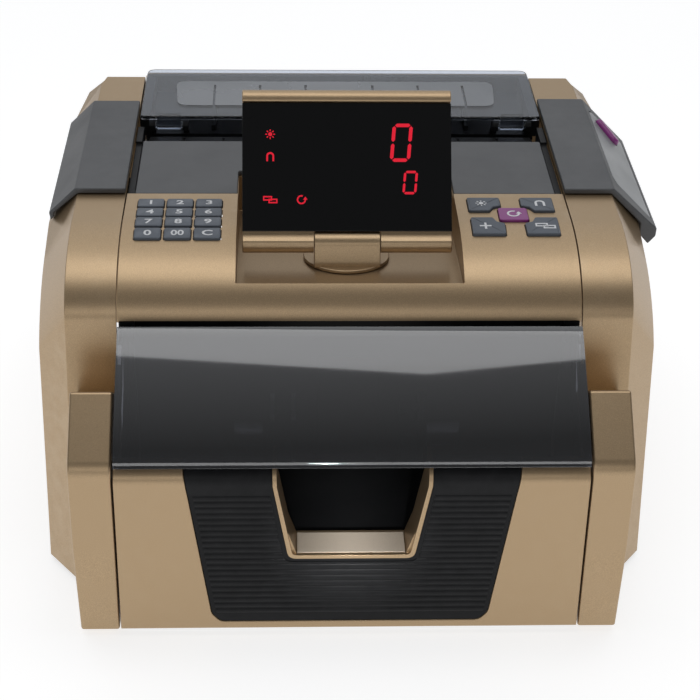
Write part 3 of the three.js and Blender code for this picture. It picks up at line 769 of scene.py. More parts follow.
# ------------------------------------------------------------------ side shells
@dataclass
class SideShells(Assembly):
    """Left and right casing: a rounded cheek behind a stepped front pillar."""

    face: float = 127.4
    top_edge: float = 126.4
    outer: float = 141.0
    pillar_face: float = 122.5
    front_foot: float = 39.5
    edge_round: float = 1.1

    def loops(self) -> list[list[tuple[float, float, float]]]:
        """Three matching loops of points, from the seam out to the cheek's outer face."""
        curve = BODY.deck_curve(14)
        rear = BODY.depth
        deck = BODY.deck
        seam = BODY.seam + BODY.gap
        chamfer = bezier([(73, 108), (79, 118.5), (92, 129.5), (110, 134.5)], 14)
        rise = [(134, 141), (180, 141), (225, 141), (240, 141)]
        top = [(134, deck), (180, deck), (230, deck), (266, deck)]
        seam_loop = [(seam, self.front_foot, BODY.foot)]
        edge_loop = [(self.face, self.front_foot, BODY.foot)]
        outer_loop = [(self.outer, 57.5, BODY.foot)]
        for first, second in zip(curve + top, chamfer + rise):
            seam_loop.append((seam, *first))
            edge_loop.append((self.top_edge, *first))
            outer_loop.append((self.outer, *second))
        corner = rear - 29
        tail = [((seam, rear - 1.8, deck), (124.1, rear - 1.8, deck), (self.outer, corner, 141)),
                ((seam, rear, 155.2), (124.1, rear, 155.2), (self.outer, corner, 140.4)),
                ((seam, rear, 146.8), (134.5, rear, 146.8), (self.outer, corner, 139)),
                ((seam, rear, BODY.foot), (134.5, rear, BODY.foot), (self.outer, corner, BODY.foot))]
        for first, second, third in tail:
            seam_loop.append(first)
            edge_loop.append(second)
            outer_loop.append(third)
        return [seam_loop, edge_loop, outer_loop]

    def cheek(self) -> bmesh.types.BMesh:
        """The cheek: a closed thin-walled shell, open towards the mechanism and below."""
        mesh = bmesh.new()
        rims = []
        for points in self.loops():
            spots = [mesh.verts.new(point) for point in points]
            rims.append([mesh.edges.new((spots[i - 1], spots[i])) for i in range(len(spots))])
        for first, second in zip(rims, rims[1:]):
            bmesh.ops.bridge_loops(mesh, edges=first + second)
        bmesh.ops.contextual_create(mesh, geom=rims[2])
        bottom = [f for f in mesh.faces if all(v.co.z < BODY.foot + 0.1 for v in f.verts)]
        bmesh.ops.delete(mesh, geom=bottom, context="FACES")
        bmesh.ops.recalc_face_normals(mesh, faces=mesh.faces)
        if sum(face.normal.x * face.calc_area() for face in mesh.faces) < 0:
            bmesh.ops.reverse_faces(mesh, faces=mesh.faces)
        sharp = [e for e in mesh.edges if len(e.link_faces) == 2 and e.calc_face_angle() > math.radians(14)
                 and not all(abs(v.co.x - BODY.seam - BODY.gap) < 0.1 for v in e.verts)]
        bmesh.ops.bevel(mesh, geom=sharp, offset=self.edge_round, offset_type="OFFSET", segments=4,
                        profile=0.5, affect="EDGES", clamp_overlap=True, material=-1)
        bmesh.ops.remove_doubles(mesh, verts=mesh.verts, dist=1e-3)
        return mesh

    def walled(self, mesh: bmesh.types.BMesh) -> bmesh.types.BMesh:
        """Gives an open skin its wall thickness, inwards."""
        holder = temporary(mesh)
        wall = holder.modifiers.new("wall", "SOLIDIFY")
        wall.thickness = BODY.wall
        wall.offset = -1.0
        wall.use_even_offset = True
        wall.thickness_clamp = 1.0
        return baked(holder)

    def pillar(self) -> bmesh.types.BMesh:
        """The front pillar with its rolled brow, closed."""
        brow = arc((10, 86), 10, 180, 132, 8) + [(27, 113.5), (60, 92), (60, BODY.foot)]
        profile = [(0.6, BODY.foot), (0, 50)] + brow
        solid = slab(profile, BODY.seam + BODY.gap, self.pillar_face, Axis.X)
        for vert in solid.verts:
            if vert.co.x > self.pillar_face - 1 and vert.co.z < 50:
                vert.co.x -= 1.3
        return soften(solid, 1.2, 3, 24)

    def build(self) -> None:
        """Builds both side shells."""
        for side, word in ((-1, "left"), (1, "right")):
            shell = carve(self.walled(self.cheek()), self.pillar(), Op.JOIN)
            if side < 0:
                turned(shell, Matrix.Scale(-1, 4, (1, 0, 0)))
                bmesh.ops.reverse_faces(shell, faces=shell.faces)
            self.bench.finish(f"{word}_side_casing", shell, self.palette["gold"], "housing", "gold_paint",
                              (f"{word}_side_shell",), 40)


# ------------------------------------------------------------------ keys
class Legend(Enum):
    """Symbols printed on keys and shown on the display."""

    RAYS = "rays"
    MAGNET = "magnet"
    PLUS = "plus"
    TWIN = "twin"
    LOOP = "loop"


def lettering(text: str, tall: float, thick: float) -> bmesh.types.BMesh:
    """Flat digits centred on the origin.

    Args:
        text: digits or one letter.
        tall: height of a digit.
        thick: how far they stand up.

    Returns:
        The solid digits.
    """
    curve = bpy.data.curves.new("digits", "FONT")
    curve.body = text
    curve.size = tall / 0.73
    curve.align_x = "CENTER"
    curve.align_y = "CENTER"
    curve.offset = 0.03 * tall
    curve.extrude = thick / 2
    curve.resolution_u = 3
    holder = bpy.data.objects.new("digits", curve)
    bpy.context.scene.collection.objects.link(holder)
    bpy.context.view_layer.update()
    mesh = baked(holder)
    bmesh.ops.remove_doubles(mesh, verts=mesh.verts, dist=1e-4)
    middle = [(max(v.co[k] for v in mesh.verts) + min(v.co[k] for v in mesh.verts)) / 2 for k in (0, 1)]
    bmesh.ops.translate(mesh, verts=mesh.verts, vec=(-middle[0], -middle[1], 0))
    return mesh


def symbol(kind: Legend, size: float, thick: float) -> bmesh.types.BMesh:
    """A flat generic symbol centred on the origin.

    Args:
        kind: which symbol.
        size: its height.
        thick: how far it stands up.

    Returns:
        The solid symbol.
    """
    half = size / 2
    stroke = size * 0.16
    bars: list[bmesh.types.BMesh] = []
    if kind is Legend.PLUS:
        bars = [slab(rectangle(size, stroke * 1.2), -thick / 2, thick / 2, Axis.Z),
                slab(rectangle(stroke * 1.2, size), -thick / 2, thick / 2, Axis.Z)]
        return carve(bars[0], bars[1], Op.JOIN)
    if kind is Legend.TWIN:
        wide, tall = size * 1.1, size * 0.55
        for shift in (-0.32, 0.32):
            place = Matrix.Translation((shift * size, -shift * size * 0.5, 0))
            note = turned(slab(rectangle(wide * 0.98, tall), -thick / 2, thick / 2, Axis.Z), place)
            hollow = slab(rectangle(wide - 2 * stroke, tall - 2 * stroke), -thick, thick, Axis.Z)
            bars.append(carve(note, turned(hollow, place)))
        return gathered(*bars)
    if kind is Legend.RAYS:
        bars.append(slab(arc((0, 0), half * 0.42, 0, 345, 23), -thick / 2, thick / 2, Axis.Z))
        for i in range(8):
            ray = slab([(half * 0.62, -stroke * 0.35), (half, -stroke * 0.35), (half, stroke * 0.35),
                        (half * 0.62, stroke * 0.35)], -thick / 2, thick / 2, Axis.Z)
            bars.append(turned(ray, Matrix.Rotation(math.radians(45 * i), 4, "Z")))
        return gathered(*bars)
    if kind is Legend.MAGNET:
        outer_arc = arc((0, 0.1 * size), half * 0.9, 0, 180, 16)
        inner_arc = arc((0, 0.1 * size), half * 0.9 - stroke * 1.3, 180, 0, 16)
        outline = outer_arc + [(-half * 0.9, -half), (-half * 0.9 + stroke * 1.3, -half)] + inner_arc
        outline += [(half * 0.9 - stroke * 1.3, -half), (half * 0.9, -half)]
        return slab(outline, -thick / 2, thick / 2, Axis.Z)
    outer_arc = arc((0, 0), half, 70, 360, 26)
    inner_arc = arc((0, 0), half - stroke, 360, 70, 26)
    ring_part = slab(outer_arc + inner_arc, -thick / 2, thick / 2, Axis.Z)
    tip = half - stroke / 2
    arrow = slab([(tip - stroke * 1.5, 0), (tip + stroke * 1.5, 0), (tip, stroke * 2.1)], -thick / 2,
                 thick / 2, Axis.Z)
    return gathered(ring_part, arrow)


@dataclass(frozen=True)
class Key:
    """One key of the two key pads."""

    node: str
    x: float
    y: float
    outline: tuple[tuple[float, float], ...]
    finish: str
    slot: str
    corner: float
    legend: str | Legend
    tall: float

    def frame(self) -> Matrix:
        """Turns the key's own plane onto the top panel."""
        z, slope = BODY.deck_at(self.y)
        return Matrix.Translation((self.x, self.y, z)) @ Matrix.Rotation(slope, 4, "X")


def key_list() -> list[Key]:
    """Every key, numeric pad first."""
    keys = []
    columns = (-91.2, -77.7, -64.2)
    rows = (122.2, 112.6, 103.0, 93.4)
    names = ["1", "2", "3", "4", "5", "6", "7", "8", "9", "0", "double_zero", "clear"]
    marks = ["1", "2", "3", "4", "5", "6", "7", "8", "9", "0", "00", "C"]
    for i, (name, mark) in enumerate(zip(names, marks)):
        keys.append(Key(f"key_{name}", columns[i % 3], rows[i // 3], tuple(rectangle(12.2, 8.3)), "key",
                        "grey_key", 1.3, mark, 4.0))
    upper = [(-7.7, 6.8), (7.6, 6.8), (7.6, -1.7), (3.9, -2.9), (1.9, -6.8), (-7.7, -6.8)]
    lower = [(-7.7, 7.3), (2.6, 7.3), (4.2, 3.6), (7.8, 2.2), (7.6, -7.3), (-7.7, -7.3)]
    for name, x, y, outline, legend in (
            ("key_ultraviolet", 64.3, 121.0, upper, Legend.RAYS),
            ("key_magnetic", 89.1, 121.0, mirrored(upper), Legend.MAGNET),
            ("key_add", 64.3, 99.6, lower, Legend.PLUS),
            ("key_double_detect", 89.1, 99.6, mirrored(lower), Legend.TWIN)):
        keys.append(Key(name, x, y, tuple(outline), "key", "grey_key", 1.0, legend, 5.4))
    keys.append(Key("key_reset", 76.9, 110.7, tuple(rectangle(13.6, 12.6)), "purple", "purple_key", 1.6,
                    Legend.LOOP, 6.0))
    return keys


@dataclass
class KeyPads(Assembly):
    """The numeric pad, the function keys and their printed marks."""

    above: float = 1.2
    below: float = 2.3
    rim: float = 0.55
    print_height: float = 0.12

    def cap(self, key: Key) -> bmesh.types.BMesh:
        """A key cap with rounded corners, a rolled rim and a flat face."""
        outline = anticlockwise(fillet(list(key.outline), key.corner, 4))
        mesh = slab(outline, -self.below, self.above, Axis.Z)
        soften(mesh, self.rim, 3, 60)
        top = [face for face in mesh.faces if face.normal.z > 0.99
               and face.calc_center_median().z > self.above - 0.01]
        bmesh.ops.inset_region(mesh, faces=top, thickness=0.5, depth=0, use_even_offset=True)
        return mesh

    def mark(self, key: Key) -> bmesh.types.BMesh:
        """The key's printed mark, just above its face."""
        if isinstance(key.legend, Legend):
            mesh = symbol(key.legend, key.tall, self.print_height)
        else:
            mesh = lettering(key.legend, key.tall, self.print_height)
            wide = 1.35 if len(key.legend) == 1 else 1.1
            turned(mesh, Matrix.Diagonal((wide, 1, 1, 1)))
        shift = (0.0, 0.0)
        if key.node in ("key_ultraviolet", "key_add"):
            shift = (-1.4, 0.5 if key.node == "key_ultraviolet" else -0.6)
        if key.node in ("key_magnetic", "key_double_detect"):
            shift = (1.4, 0.5 if key.node == "key_magnetic" else -0.6)
        return turned(mesh, Matrix.Translation((*shift, self.above)))

    def build(self) -> None:
        """Builds every key."""
        for key in key_list():
            cap = turned(self.cap(key), key.frame())
            self.bench.finish(f"{key.node}_moulding", cap, self.palette[key.finish], f"{key.node}_cap",
                              key.slot, (key.node,), 20)
            mark = turned(self.mark(key), key.frame())
            self.bench.finish(f"{key.node}_mark", mark, self.palette["mark"], f"{key.node}_cap",
                              "light_grey_plate", (), 30)


# ------------------------------------------------------------------ top panel
@dataclass
class TopPanel(Assembly):
    """The curved gold top with the key wells and the sunk display bay."""

    tub_wall: float = 2.2
    bay_rim: float = 66.7
    key_gap: float = 0.45
    lip_round: float = 0.5

    def build(self) -> None:
        """Builds the top panel."""
        half = BODY.seam - BODY.gap
        outer = BODY.deck_curve(40)
        inner = offset_path(outer, BODY.wall)[::-1]
        back = BODY.bay_back + self.tub_wall
        skin = slab(outer + [(BODY.cover_start, BODY.deck), (BODY.cover_start, BODY.deck - BODY.wall)]
                    + inner, -half, half, Axis.X)
        under = BODY.deck - BODY.wall - BODY.gap
        lower = [(BODY.cover_start, BODY.deck), (BODY.cover_start, under), (back, under), (back, 120),
                 (57.4, 120)]
        filled = slab(outer + lower, -half, half, Axis.X)
        wide = BODY.bay_half + self.tub_wall
        tub = slab([(40, BODY.bay_floor(40) - self.tub_wall), (back, BODY.bay_floor(back) - self.tub_wall),
                    (back, 190), (40, 190)], -wide, wide, Axis.X)
        panel = carve(skin, carve(filled, tub, Op.KEEP), Op.JOIN)
        rim = self.bay_rim
        hollow = slab([(rim, BODY.bay_floor(rim)), (BODY.bay_back, BODY.bay_floor(BODY.bay_back)),
                       (BODY.bay_back, 190), (rim, 190)], -BODY.bay_half, BODY.bay_half, Axis.X)
        soften(hollow, 0.5, 3, 60)
        panel = carve(panel, hollow)
        soften(panel, self.lip_round, 3, 33)
        wells = []
        for key in key_list():
            reach = [math.hypot(a, b) for a, b in key.outline]
            grown = fillet([(a * (1 + self.key_gap / r), b * (1 + self.key_gap / r))
                            for (a, b), r in zip(key.outline, reach)], key.corner, 4)
            wells.append(turned(slab(anticlockwise(grown), -5, 5, Axis.Z), key.frame()))
        wells.append(rod(6.6, 120, 160, (-0.7, 100), Axis.Z, 48))
        panel = carve(panel, gathered(*wells))
        self.bench.finish("top_casing", panel, self.palette["gold"], "housing", "gold_paint", ("top_panel",),
                          34)


# ------------------------------------------------------------------ front
@dataclass
class FrontPanel(Assembly):
    """The front panel, its ribbed black insert and the trim round the finger cut-out."""

    roll: float = 8.0
    top: float = 90.5
    ribs: int = 21
    rib_pitch: float = 3.08
    rib_start: float = 77.2
    notch_wall: float = 1.8
    relief: float = 0.28
    ledge_half: float = 23.9
    ledge_low: float = 44.6
    ledge_high: float = 45.45

    def profile(self, grow: float = 0.0, steps: int = 14) -> Outline:
        """The panel's section in (Y, Z), thickened outwards by grow."""
        centre = (self.roll, self.top - self.roll)
        outside = arc(centre, self.roll + grow, 180, 90, steps)
        inside = arc(centre, self.roll - BODY.wall, 90, 180, steps)
        step = [(11.6, self.top + grow), (11.6, self.top - BODY.wall)]
        return [(-grow, BODY.foot)] + outside + step + inside + [(BODY.wall, BODY.foot)]

    def insert_outline(self, grow: float, corner: float) -> Outline:
        """The insert's front outline in (X, Z)."""
        slope = (73 - 62) / (self.top - 12.5)
        high = 73 + slope * 10 + grow
        points = [(58 + grow, 8.3 - grow), (62 + grow, 12.5), (high, self.top + 10), (-high, self.top + 10),
                  (-62 - grow, 12.5), (-58 - grow, 8.3 - grow)]
        return fillet(points, [corner, corner, 0, 0, corner, corner], 4)

    def notch_outline(self, inset: float, corner: float) -> Outline:
        """The finger cut-out's outline in (X, Z)."""
        right = [(27.8 - inset, 43.4 + inset), (34.6 - inset, 82), (34.9 - inset, self.top + 8)]
        return fillet(right + mirrored(right)[::-1], [corner, 0, 0, 0, 0, corner], 6)

    def panel(self) -> bmesh.types.BMesh:
        """The gold panel around the insert."""
        half = BODY.seam - BODY.gap
        mesh = carve(slab(self.profile(), -half, half, Axis.X),
                     slab(self.insert_outline(BODY.gap, 4.5), -5, 20, Axis.Y))
        soften(mesh, 0.6, 3, 40)
        foot = slab([(-1, BODY.foot - 1), (2.6, BODY.foot - 1), (-1, BODY.foot + 2.6)], -half - 1, half + 1,
                    Axis.X)
        return carve(mesh, foot)

    def insert(self) -> bmesh.types.BMesh:
        """The black insert: a smooth rolled band over fine level ribs."""
        half = BODY.seam - BODY.gap
        section = self.profile()[1:]
        section = [(self.relief, BODY.foot), (self.relief, self.rib_start + 0.4),
                   (0, self.rib_start + 0.9)] + section
        base = carve(slab(section, -half, half, Axis.X), slab(self.insert_outline(0, 4.5), -5, 20, Axis.Y),
                     Op.KEEP)
        front = []
        for i in reversed(range(self.ribs)):
            z = self.rib_start - self.rib_pitch * (i + 0.5)
            front += [(self.relief + 0.3, z - 1.45), (0.2, z - 1.1), (-0.08, z - 0.5), (-0.08, z + 0.5),
                      (0.2, z + 1.1), (self.relief + 0.3, z + 1.45)]
        ribs = slab(front + [(1.7, front[-1][1]), (1.7, front[0][1])], -half, half, Axis.X)
        ribs = carve(ribs, slab(self.insert_outline(-1.9, 3.4), -5, 20, Axis.Y), Op.KEEP)
        ribs = carve(ribs, slab(self.notch_outline(-2.1, 5.5), -5, 22, Axis.Y))
        body = carve(base, ribs, Op.JOIN)
        return carve(body, slab(self.notch_outline(-BODY.gap, 4.3), -5, 22, Axis.Y))

    def trim(self) -> bmesh.types.BMesh:
        """The gold U round the cut-out, closed below by a solid floor behind the ledge."""
        half = BODY.seam - BODY.gap
        centre = (self.roll, self.top - self.roll)
        limit = slab([(-0.4, BODY.foot)] + arc(centre, self.roll + 0.4, 180, 90, 14)
                     + [(18, self.top + 0.4), (18, BODY.foot)], -half, half, Axis.X)
        body = carve(slab(self.notch_outline(0, 4.2), -1, 18, Axis.Y),
                     slab(self.notch_outline(self.notch_wall, 2.6), -5, 25, Axis.Y))
        floor = self.notch_outline(self.notch_wall - 0.1, 2.6)
        scoop = slab([(-24.3, 45.2), (24.3, 45.2), (33, 71), (-33, 71)], -5, 25, Axis.Y)
        fill = carve(slab(floor, 1.4, 17.8, Axis.Y), scoop)
        fill = carve(fill, block((-40, -5, 30), (40, 30, 64)), Op.KEEP)
        body = carve(carve(body, limit, Op.KEEP), fill, Op.JOIN)
        return soften(body, 0.4, 3, 40)

    def build(self) -> None:
        """Builds the panel, the insert, the trim and the finger ledge, whose paler paint is painted light."""
        gold = self.palette["gold"]
        self.bench.finish("front_casing", self.panel(), gold, "housing", "gold_paint", ("front_panel",))
        self.bench.finish("front_ribbed_insert", self.insert(), self.palette["black"], "housing",
                          "black_plastic", ("ribbed_insert",), 40)
        self.bench.finish("finger_trim", self.trim(), gold, "housing", "gold_paint", ("finger_cutout_trim",))
        # The ledge is gold paint; its pale finish is painted light falling on it.
        ledge = block((-self.ledge_half, 1.6, self.ledge_low), (self.ledge_half, 16.4, self.ledge_high))
        ledge = soften(ledge, 0.3, 2, 60)
        self.bench.finish("finger_ledge", ledge, self.palette["ledge"], "housing", "gold_paint", ())


# ------------------------------------------------------------------ shoulders
@dataclass
class Shoulders(Assembly):
    """The dark grey covers on the rear shoulders, the right one a pod with the power button."""

    start: float = 132.8
    left_end: float = 237.5
    right_end: float = 241.6
    top: float = 159.8
    edge: float = 0.7
    ridge: float = 127.4
    tip: tuple[float, float] = (150.0, 138.7)

    def outline(self, tip: Outline) -> Outline:
        """The cover's section in (|X|, Z)."""
        seam = BODY.seam + BODY.gap
        return [(seam, self.top), (self.ridge, self.top), *tip, (126.2, 157.1), (seam, 157.1)]

    def facet(self) -> Matrix:
        """The frame of the pod's sloping facet: X down the slope, Y to the rear, Z outwards."""
        slope = math.atan2(self.tip[1] - self.top, self.tip[0] - self.ridge)
        return Matrix.Translation((self.ridge, 0, self.top)) @ Matrix.Rotation(-slope, 4, "Y")

    def button_outline(self, radius: float) -> Outline:
        """The power button's long round outline, which lies across the facet."""
        lean = math.degrees(math.atan2(-6.8, 8))
        return (arc((18.6, 216.6), radius, lean - 90, lean + 90, 16)
                + arc((10.6, 223.4), radius, lean + 90, lean + 270, 16))

    def cover(self, tip: Outline, stop: float) -> bmesh.types.BMesh:
        """A shoulder cover, on the right, before its edges are rounded."""
        return slab(self.outline(tip), self.start, stop, Axis.Y)

    def build(self) -> None:
        """Builds the covers, the inset plate and the power button."""
        grey = self.palette["grey"]
        left = self.cover([(140.5, 147.0), (139.9, 142.9), (138.2, 144.6), (138, 146.8)], self.left_end)
        left = soften(left, self.edge, 3, 25)
        turned(left, Matrix.Scale(-1, 4, (1, 0, 0)))
        bmesh.ops.reverse_faces(left, faces=left.faces)
        self.bench.finish("left_shoulder_moulding", left, grey, "housing", "grey_plastic",
                          ("left_shoulder_cover",))
        pod = self.cover([self.tip, (149.8, 134.6), (146.3, 130.4), (141.7, 135.6), (141.7, 141.6)],
                         self.right_end)
        end_cut = slab([(self.ridge, self.right_end), (152, 234.2), (152, 250), (self.ridge, 250)], 120, 170,
                       Axis.Z)
        pod = soften(carve(pod, end_cut), self.edge, 3, 25)
        facet = self.facet()
        plate = fillet([(3.2, 152), (5.4, 145.8), (28.4, 140.6), (28, 227.5), (6, 233), (3.2, 229)], 1.2, 4)
        well = fillet([(2.8, 151.9), (5.1, 145.4), (28.8, 140.1), (28.4, 227.9), (5.8, 233.5), (2.8, 229.2)],
                      1.5, 4)
        pod = carve(pod, turned(slab(well, -1.2, 5, Axis.Z), facet))
        pod = carve(pod, turned(slab(self.button_outline(3.6), -9, 5, Axis.Z), facet))
        self.bench.finish("right_shoulder_moulding", pod, grey, "housing", "grey_plastic",
                          ("right_shoulder_pod",))
        inset = carve(slab(plate, -0.9, 0, Axis.Z), slab(self.button_outline(3.6), -9, 5, Axis.Z))
        inset = turned(soften(inset, 0.2, 2, 40), facet)
        self.bench.finish("inset_plate", inset, self.palette["plate"], "housing", "light_grey_plate",
                          ("pod_inset_plate",))
        cap = turned(soften(slab(self.button_outline(3.2), -1.5, 2.4, Axis.Z), 1.6, 5, 50), facet)
        self.bench.finish("power_button_moulding", cap, self.palette["purple"], "power_button_cap",
                          "purple_key", ("power_button",), 40)


# ------------------------------------------------------------------ hopper
@dataclass
class Hopper(Assembly):
    """The grey hopper cover, the feed bed, the ribbed tray and the hinged smoked lid."""

    cover_half: float = 99.5
    lid_half: float = 102.3
    lid_front: float = 216.0
    lid_z: float = 158.2
    lid_thick: float = 2.2
    pin_y: float = 218.5
    pin_z: float = 154.6
    rib_places: tuple[float, ...] = (-65.4, -41.7, -17.7, 17.7, 41.7, 65.4)
    window_half: float = 6.5
    liner_end: float = 211.5
    pane_sink: float = 0.3
    pane_rise: float = 0.08

    def cover(self) -> bmesh.types.BMesh:
        """The flat cover in front of the feed slot."""
        gap = BODY.gap
        notch = BODY.bay_half + gap
        front = BODY.cover_start + gap
        outline = fillet([(-self.cover_half, front), (-notch, front), (-notch, BODY.bay_back + gap),
                          (notch, BODY.bay_back + gap), (notch, front), (self.cover_half, front),
                          (self.cover_half, BODY.cover_end), (-self.cover_half, BODY.cover_end)],
                         [0.8, 0.8, 1.5, 1.5, 0.8, 0.8, 0.8, 0.8], 4)
        return soften(slab(outline, BODY.deck - BODY.wall, BODY.deck, Axis.Z), 0.6, 3, 60)

    def bed(self) -> bmesh.types.BMesh:
        """The feed bed between the rails."""
        start = BODY.cover_start + BODY.gap
        bed = block((-103.2, 163, 144.6), (103.2, 214, 147))
        bed = carve(bed, block((-97.6, BODY.cover_end + 1, 146), (97.6, 214, 150)), Op.JOIN)
        for low, high in pair(99.9, 103.2):
            bed = carve(bed, block((low, start, 146), (high, BODY.cover_end + 0.6, 155.2)), Op.JOIN)
            bed = carve(bed, block((low, BODY.cover_end - 1, 146), (high, self.liner_end, 156.6)), Op.JOIN)
        for i in range(9):
            x = -80 + 20 * i
            groove = block((x - 0.7, BODY.cover_end + 2.5, 149.2), (x + 0.7, 212, 152))
            bed = carve(bed, groove)
        return soften(bed, 0.4, 2, 60)

    def tray(self) -> bmesh.types.BMesh:
        """The hopper tray: floor, walls, note ribs, hinge ears and roller windows."""
        tray = block((-100, 222, 145), (100, 276, 148))
        parts = [block((-103, 222, 147), (-97.5, 276, 157.0)), block((97.5, 222, 147), (103, 276, 157.0)),
                 block((-100, 273.5, 147), (100, 276, 157.2))]
        for x in self.rib_places:
            rise = [(226, 147), (226, 151), (229, 152.5), (259, 152.5), (262, 151), (262, 147)]
            parts.append(slab(rise, x - 1, x + 1, Axis.X))
        ear = [(223, 146), (223, 150), (216, 152.5)] + arc((self.pin_y, self.pin_z), 3, 190, 10, 16)[1:]
        ear += [(226, 150), (226, 146)]
        for inner, outer in zip(pair(78, 81), pair(95, 98)):
            parts += [slab(ear, *inner, Axis.X), slab(ear, *outer, Axis.X)]
        for part in parts:
            tray = carve(tray, part, Op.JOIN)
        cuts = [rod(2.1, -99, 99, (self.pin_y, self.pin_z), Axis.X, 24)]
        for x in (-30, 30):
            cuts.append(block((x - self.window_half, 228.2, 140), (x + self.window_half, 251.8, 160)))
        return soften(carve(tray, gathered(*cuts)), 0.35, 2, 50)

    def lid(self) -> bmesh.types.BMesh:
        """The clear lid with rounded edges and two hinge lugs."""
        outline = fillet([(-self.lid_half, self.lid_front), (self.lid_half, self.lid_front),
                          (self.lid_half, BODY.depth), (-self.lid_half, BODY.depth)], [2, 2, 5, 5], 6)
        top = self.lid_z + self.lid_thick
        lid = soften(slab(outline, self.lid_z, top, Axis.Z), 0.7, 3, 60)
        for x in (-88, 88):
            side = arc((self.pin_y, self.pin_z), 2.4, 180, 360, 16)
            side += [(self.pin_y + 2.4, self.lid_z + 1), (self.pin_y - 2.4, self.lid_z + 1)]
            lid = carve(lid, slab(side, x - 6, x + 6, Axis.X), Op.JOIN)
            lid = carve(lid, rod(1.6, x - 9, x + 9, (self.pin_y, self.pin_z), Axis.X, 24), Op.JOIN)
        return lid

    def panes(self) -> bmesh.types.BMesh:
        """The row of pale panes let into the lid's top: painted light standing in for the lit tray seen
        through the lid.
        """
        top = self.lid_z + self.lid_thick
        outline = fillet([(-84, 230), (80, 230), (82, 262), (-86, 262)], 6, 5)
        row = slab(outline, top - self.pane_sink, top + self.pane_rise, Axis.Z)
        gaps = [block((x - 0.6, 225, top - 1), (x + 0.6, 257, top + 1)) for x in self.rib_places]
        return carve(row, gathered(*gaps))

    def build(self) -> None:
        """Builds the hopper's pieces."""
        self.bench.finish("hopper_cover_moulding", self.cover(), self.palette["grey"], "housing",
                          "grey_plastic", ("hopper_front_cover",))
        self.bench.finish("feed_bed_moulding", self.bed(), self.palette["black"], "housing", "black_plastic",
                          ("feed_bed",))
        self.bench.finish("hopper_tray_moulding", self.tray(), self.palette["black"], "housing",
                          "black_plastic", ("hopper_tray",))
        self.bench.finish("lid_moulding", self.lid(), self.palette["lid"], "lid", "smoked_lid",
                          ("hopper_lid",), 40)
        # Pale panes in the lid: painted light for the lit tray seen through it.
        self.bench.finish("lid_panes_with_painted_light", self.panes(), self.palette["frost"], "lid", "smoked_lid", ())


# ------------------------------------------------------------------ stacker
@dataclass
class Stacker(Assembly):
    """The smoked hood over the banknote pocket, the pocket's tray and its back plate.

    tabs holds the middle and the width of each clear tab behind the hood's lower edge.
    """

    half: float = 102.8
    thick: float = 2.5
    flange: float = 2.2
    pin_y: float = 52.5
    pin_z: float = 125.2
    tabs: tuple[tuple[float, float], ...] = ((-45, 12.7), (39.4, 14))

    def curve(self, steps: int = 12) -> Outline:
        """The hood's outer section in (Y, Z), from its hinge edge down to its front lip."""
        points = []
        for i in range(steps + 1):
            t = i / steps
            points.append(tuple((1 - t) ** 2 * a + 2 * t * (1 - t) * b + t * t * c
                                for a, b, c in zip((51, 132), (25, 115.6), (1.4, 94.6))))
        return points

    def hood(self) -> bmesh.types.BMesh:
        """The hood: one bent sheet with side flanges and hinge pins."""
        outer = self.curve()
        under = offset_path(outer, -self.thick)
        hood = slab(outer + [(0.4, 91.2), (2.9, 91.2)] + under[::-1], -self.half, self.half, Axis.X)
        flange = [(50, 130), (4.6, 93.6), (14, 92.4), (40, 109)]
        flange += arc((self.pin_y, self.pin_z), 4.4, 250, 390, 14)
        for side, pin in zip(pair(self.half - self.flange, self.half), pair(self.half - 5.6, self.half - 1)):
            hood = carve(hood, slab(flange, *side, Axis.X), Op.JOIN)
            hood = carve(hood, rod(2, *pin, (self.pin_y, self.pin_z), Axis.X, 24), Op.JOIN)
        return soften(hood, 0.7, 3, 45)

    def tray(self) -> bmesh.types.BMesh:
        """The pocket's floor and side walls."""
        side = ([(12, 40.5), (12, 84), (40, 106)] + arc((self.pin_y, self.pin_z), 3.2, 170, 20, 14)
                + [(62, 116), (71, 112), (71, 40.5)])
        tray = block((-100.3, 12, 40.5), (100.3, 71, 43))
        for low, high in pair(97.8, 100.3):
            tray = carve(tray, slab(side, low, high, Axis.X), Op.JOIN)
        tray = carve(tray, rod(2.4, -110, 110, (self.pin_y, self.pin_z), Axis.X, 24))
        return soften(tray, 0.4, 2, 50)

    def back(self) -> bmesh.types.BMesh:
        """The back plate with its raised middle, its two upper wings and the impeller slots."""
        front = bezier([(75, 38), (71.6, 60), (66, 112), (62.6, 129.4)], 16)
        plate = slab(front + offset_path(front, 2.4)[::-1], -97, 97, Axis.X)
        centre = slab([(74.3, 46), (71.2, 60), (65.2, 108), (63.4, 108), (68.2, 60), (71, 46)][::-1], -14, 14,
                      Axis.X)
        plate = carve(plate, soften(centre, 0.8, 2, 40), Op.JOIN)
        for low, high in pair(96, 103):
            plate = carve(plate, block((low, 59.6, 118), (high, 62.4, 129.4)), Op.JOIN)
        slots = [block((x - 6, 60, 38), (x + 6, 90, 86)) for x in (-30, 30)]
        return soften(carve(plate, gathered(*slots)), 0.4, 2, 50)

    def build(self) -> None:
        """Builds the stacker's pieces."""
        self.bench.finish("hood_moulding", self.hood(), self.palette["hood"], "hood", "smoked_hood",
                          ("stacker_hood",), 40)
        tabs = [soften(block((x - wide / 2, 17, 91.6), (x + wide / 2, 18.6, 103.4)), 0.4, 2, 60)
                for x, wide in self.tabs]
        self.bench.finish("hood_tabs", gathered(*tabs), self.palette["tab"], "hood", "smoked_hood", ())
        self.bench.finish("pocket_tray", self.tray(), self.palette["black"], "housing", "black_plastic",
                          ("stacker_tray",))
        self.bench.finish("pocket_back", self.back(), self.palette["black"], "housing", "black_plastic",
                          ("stacker_backplate",))


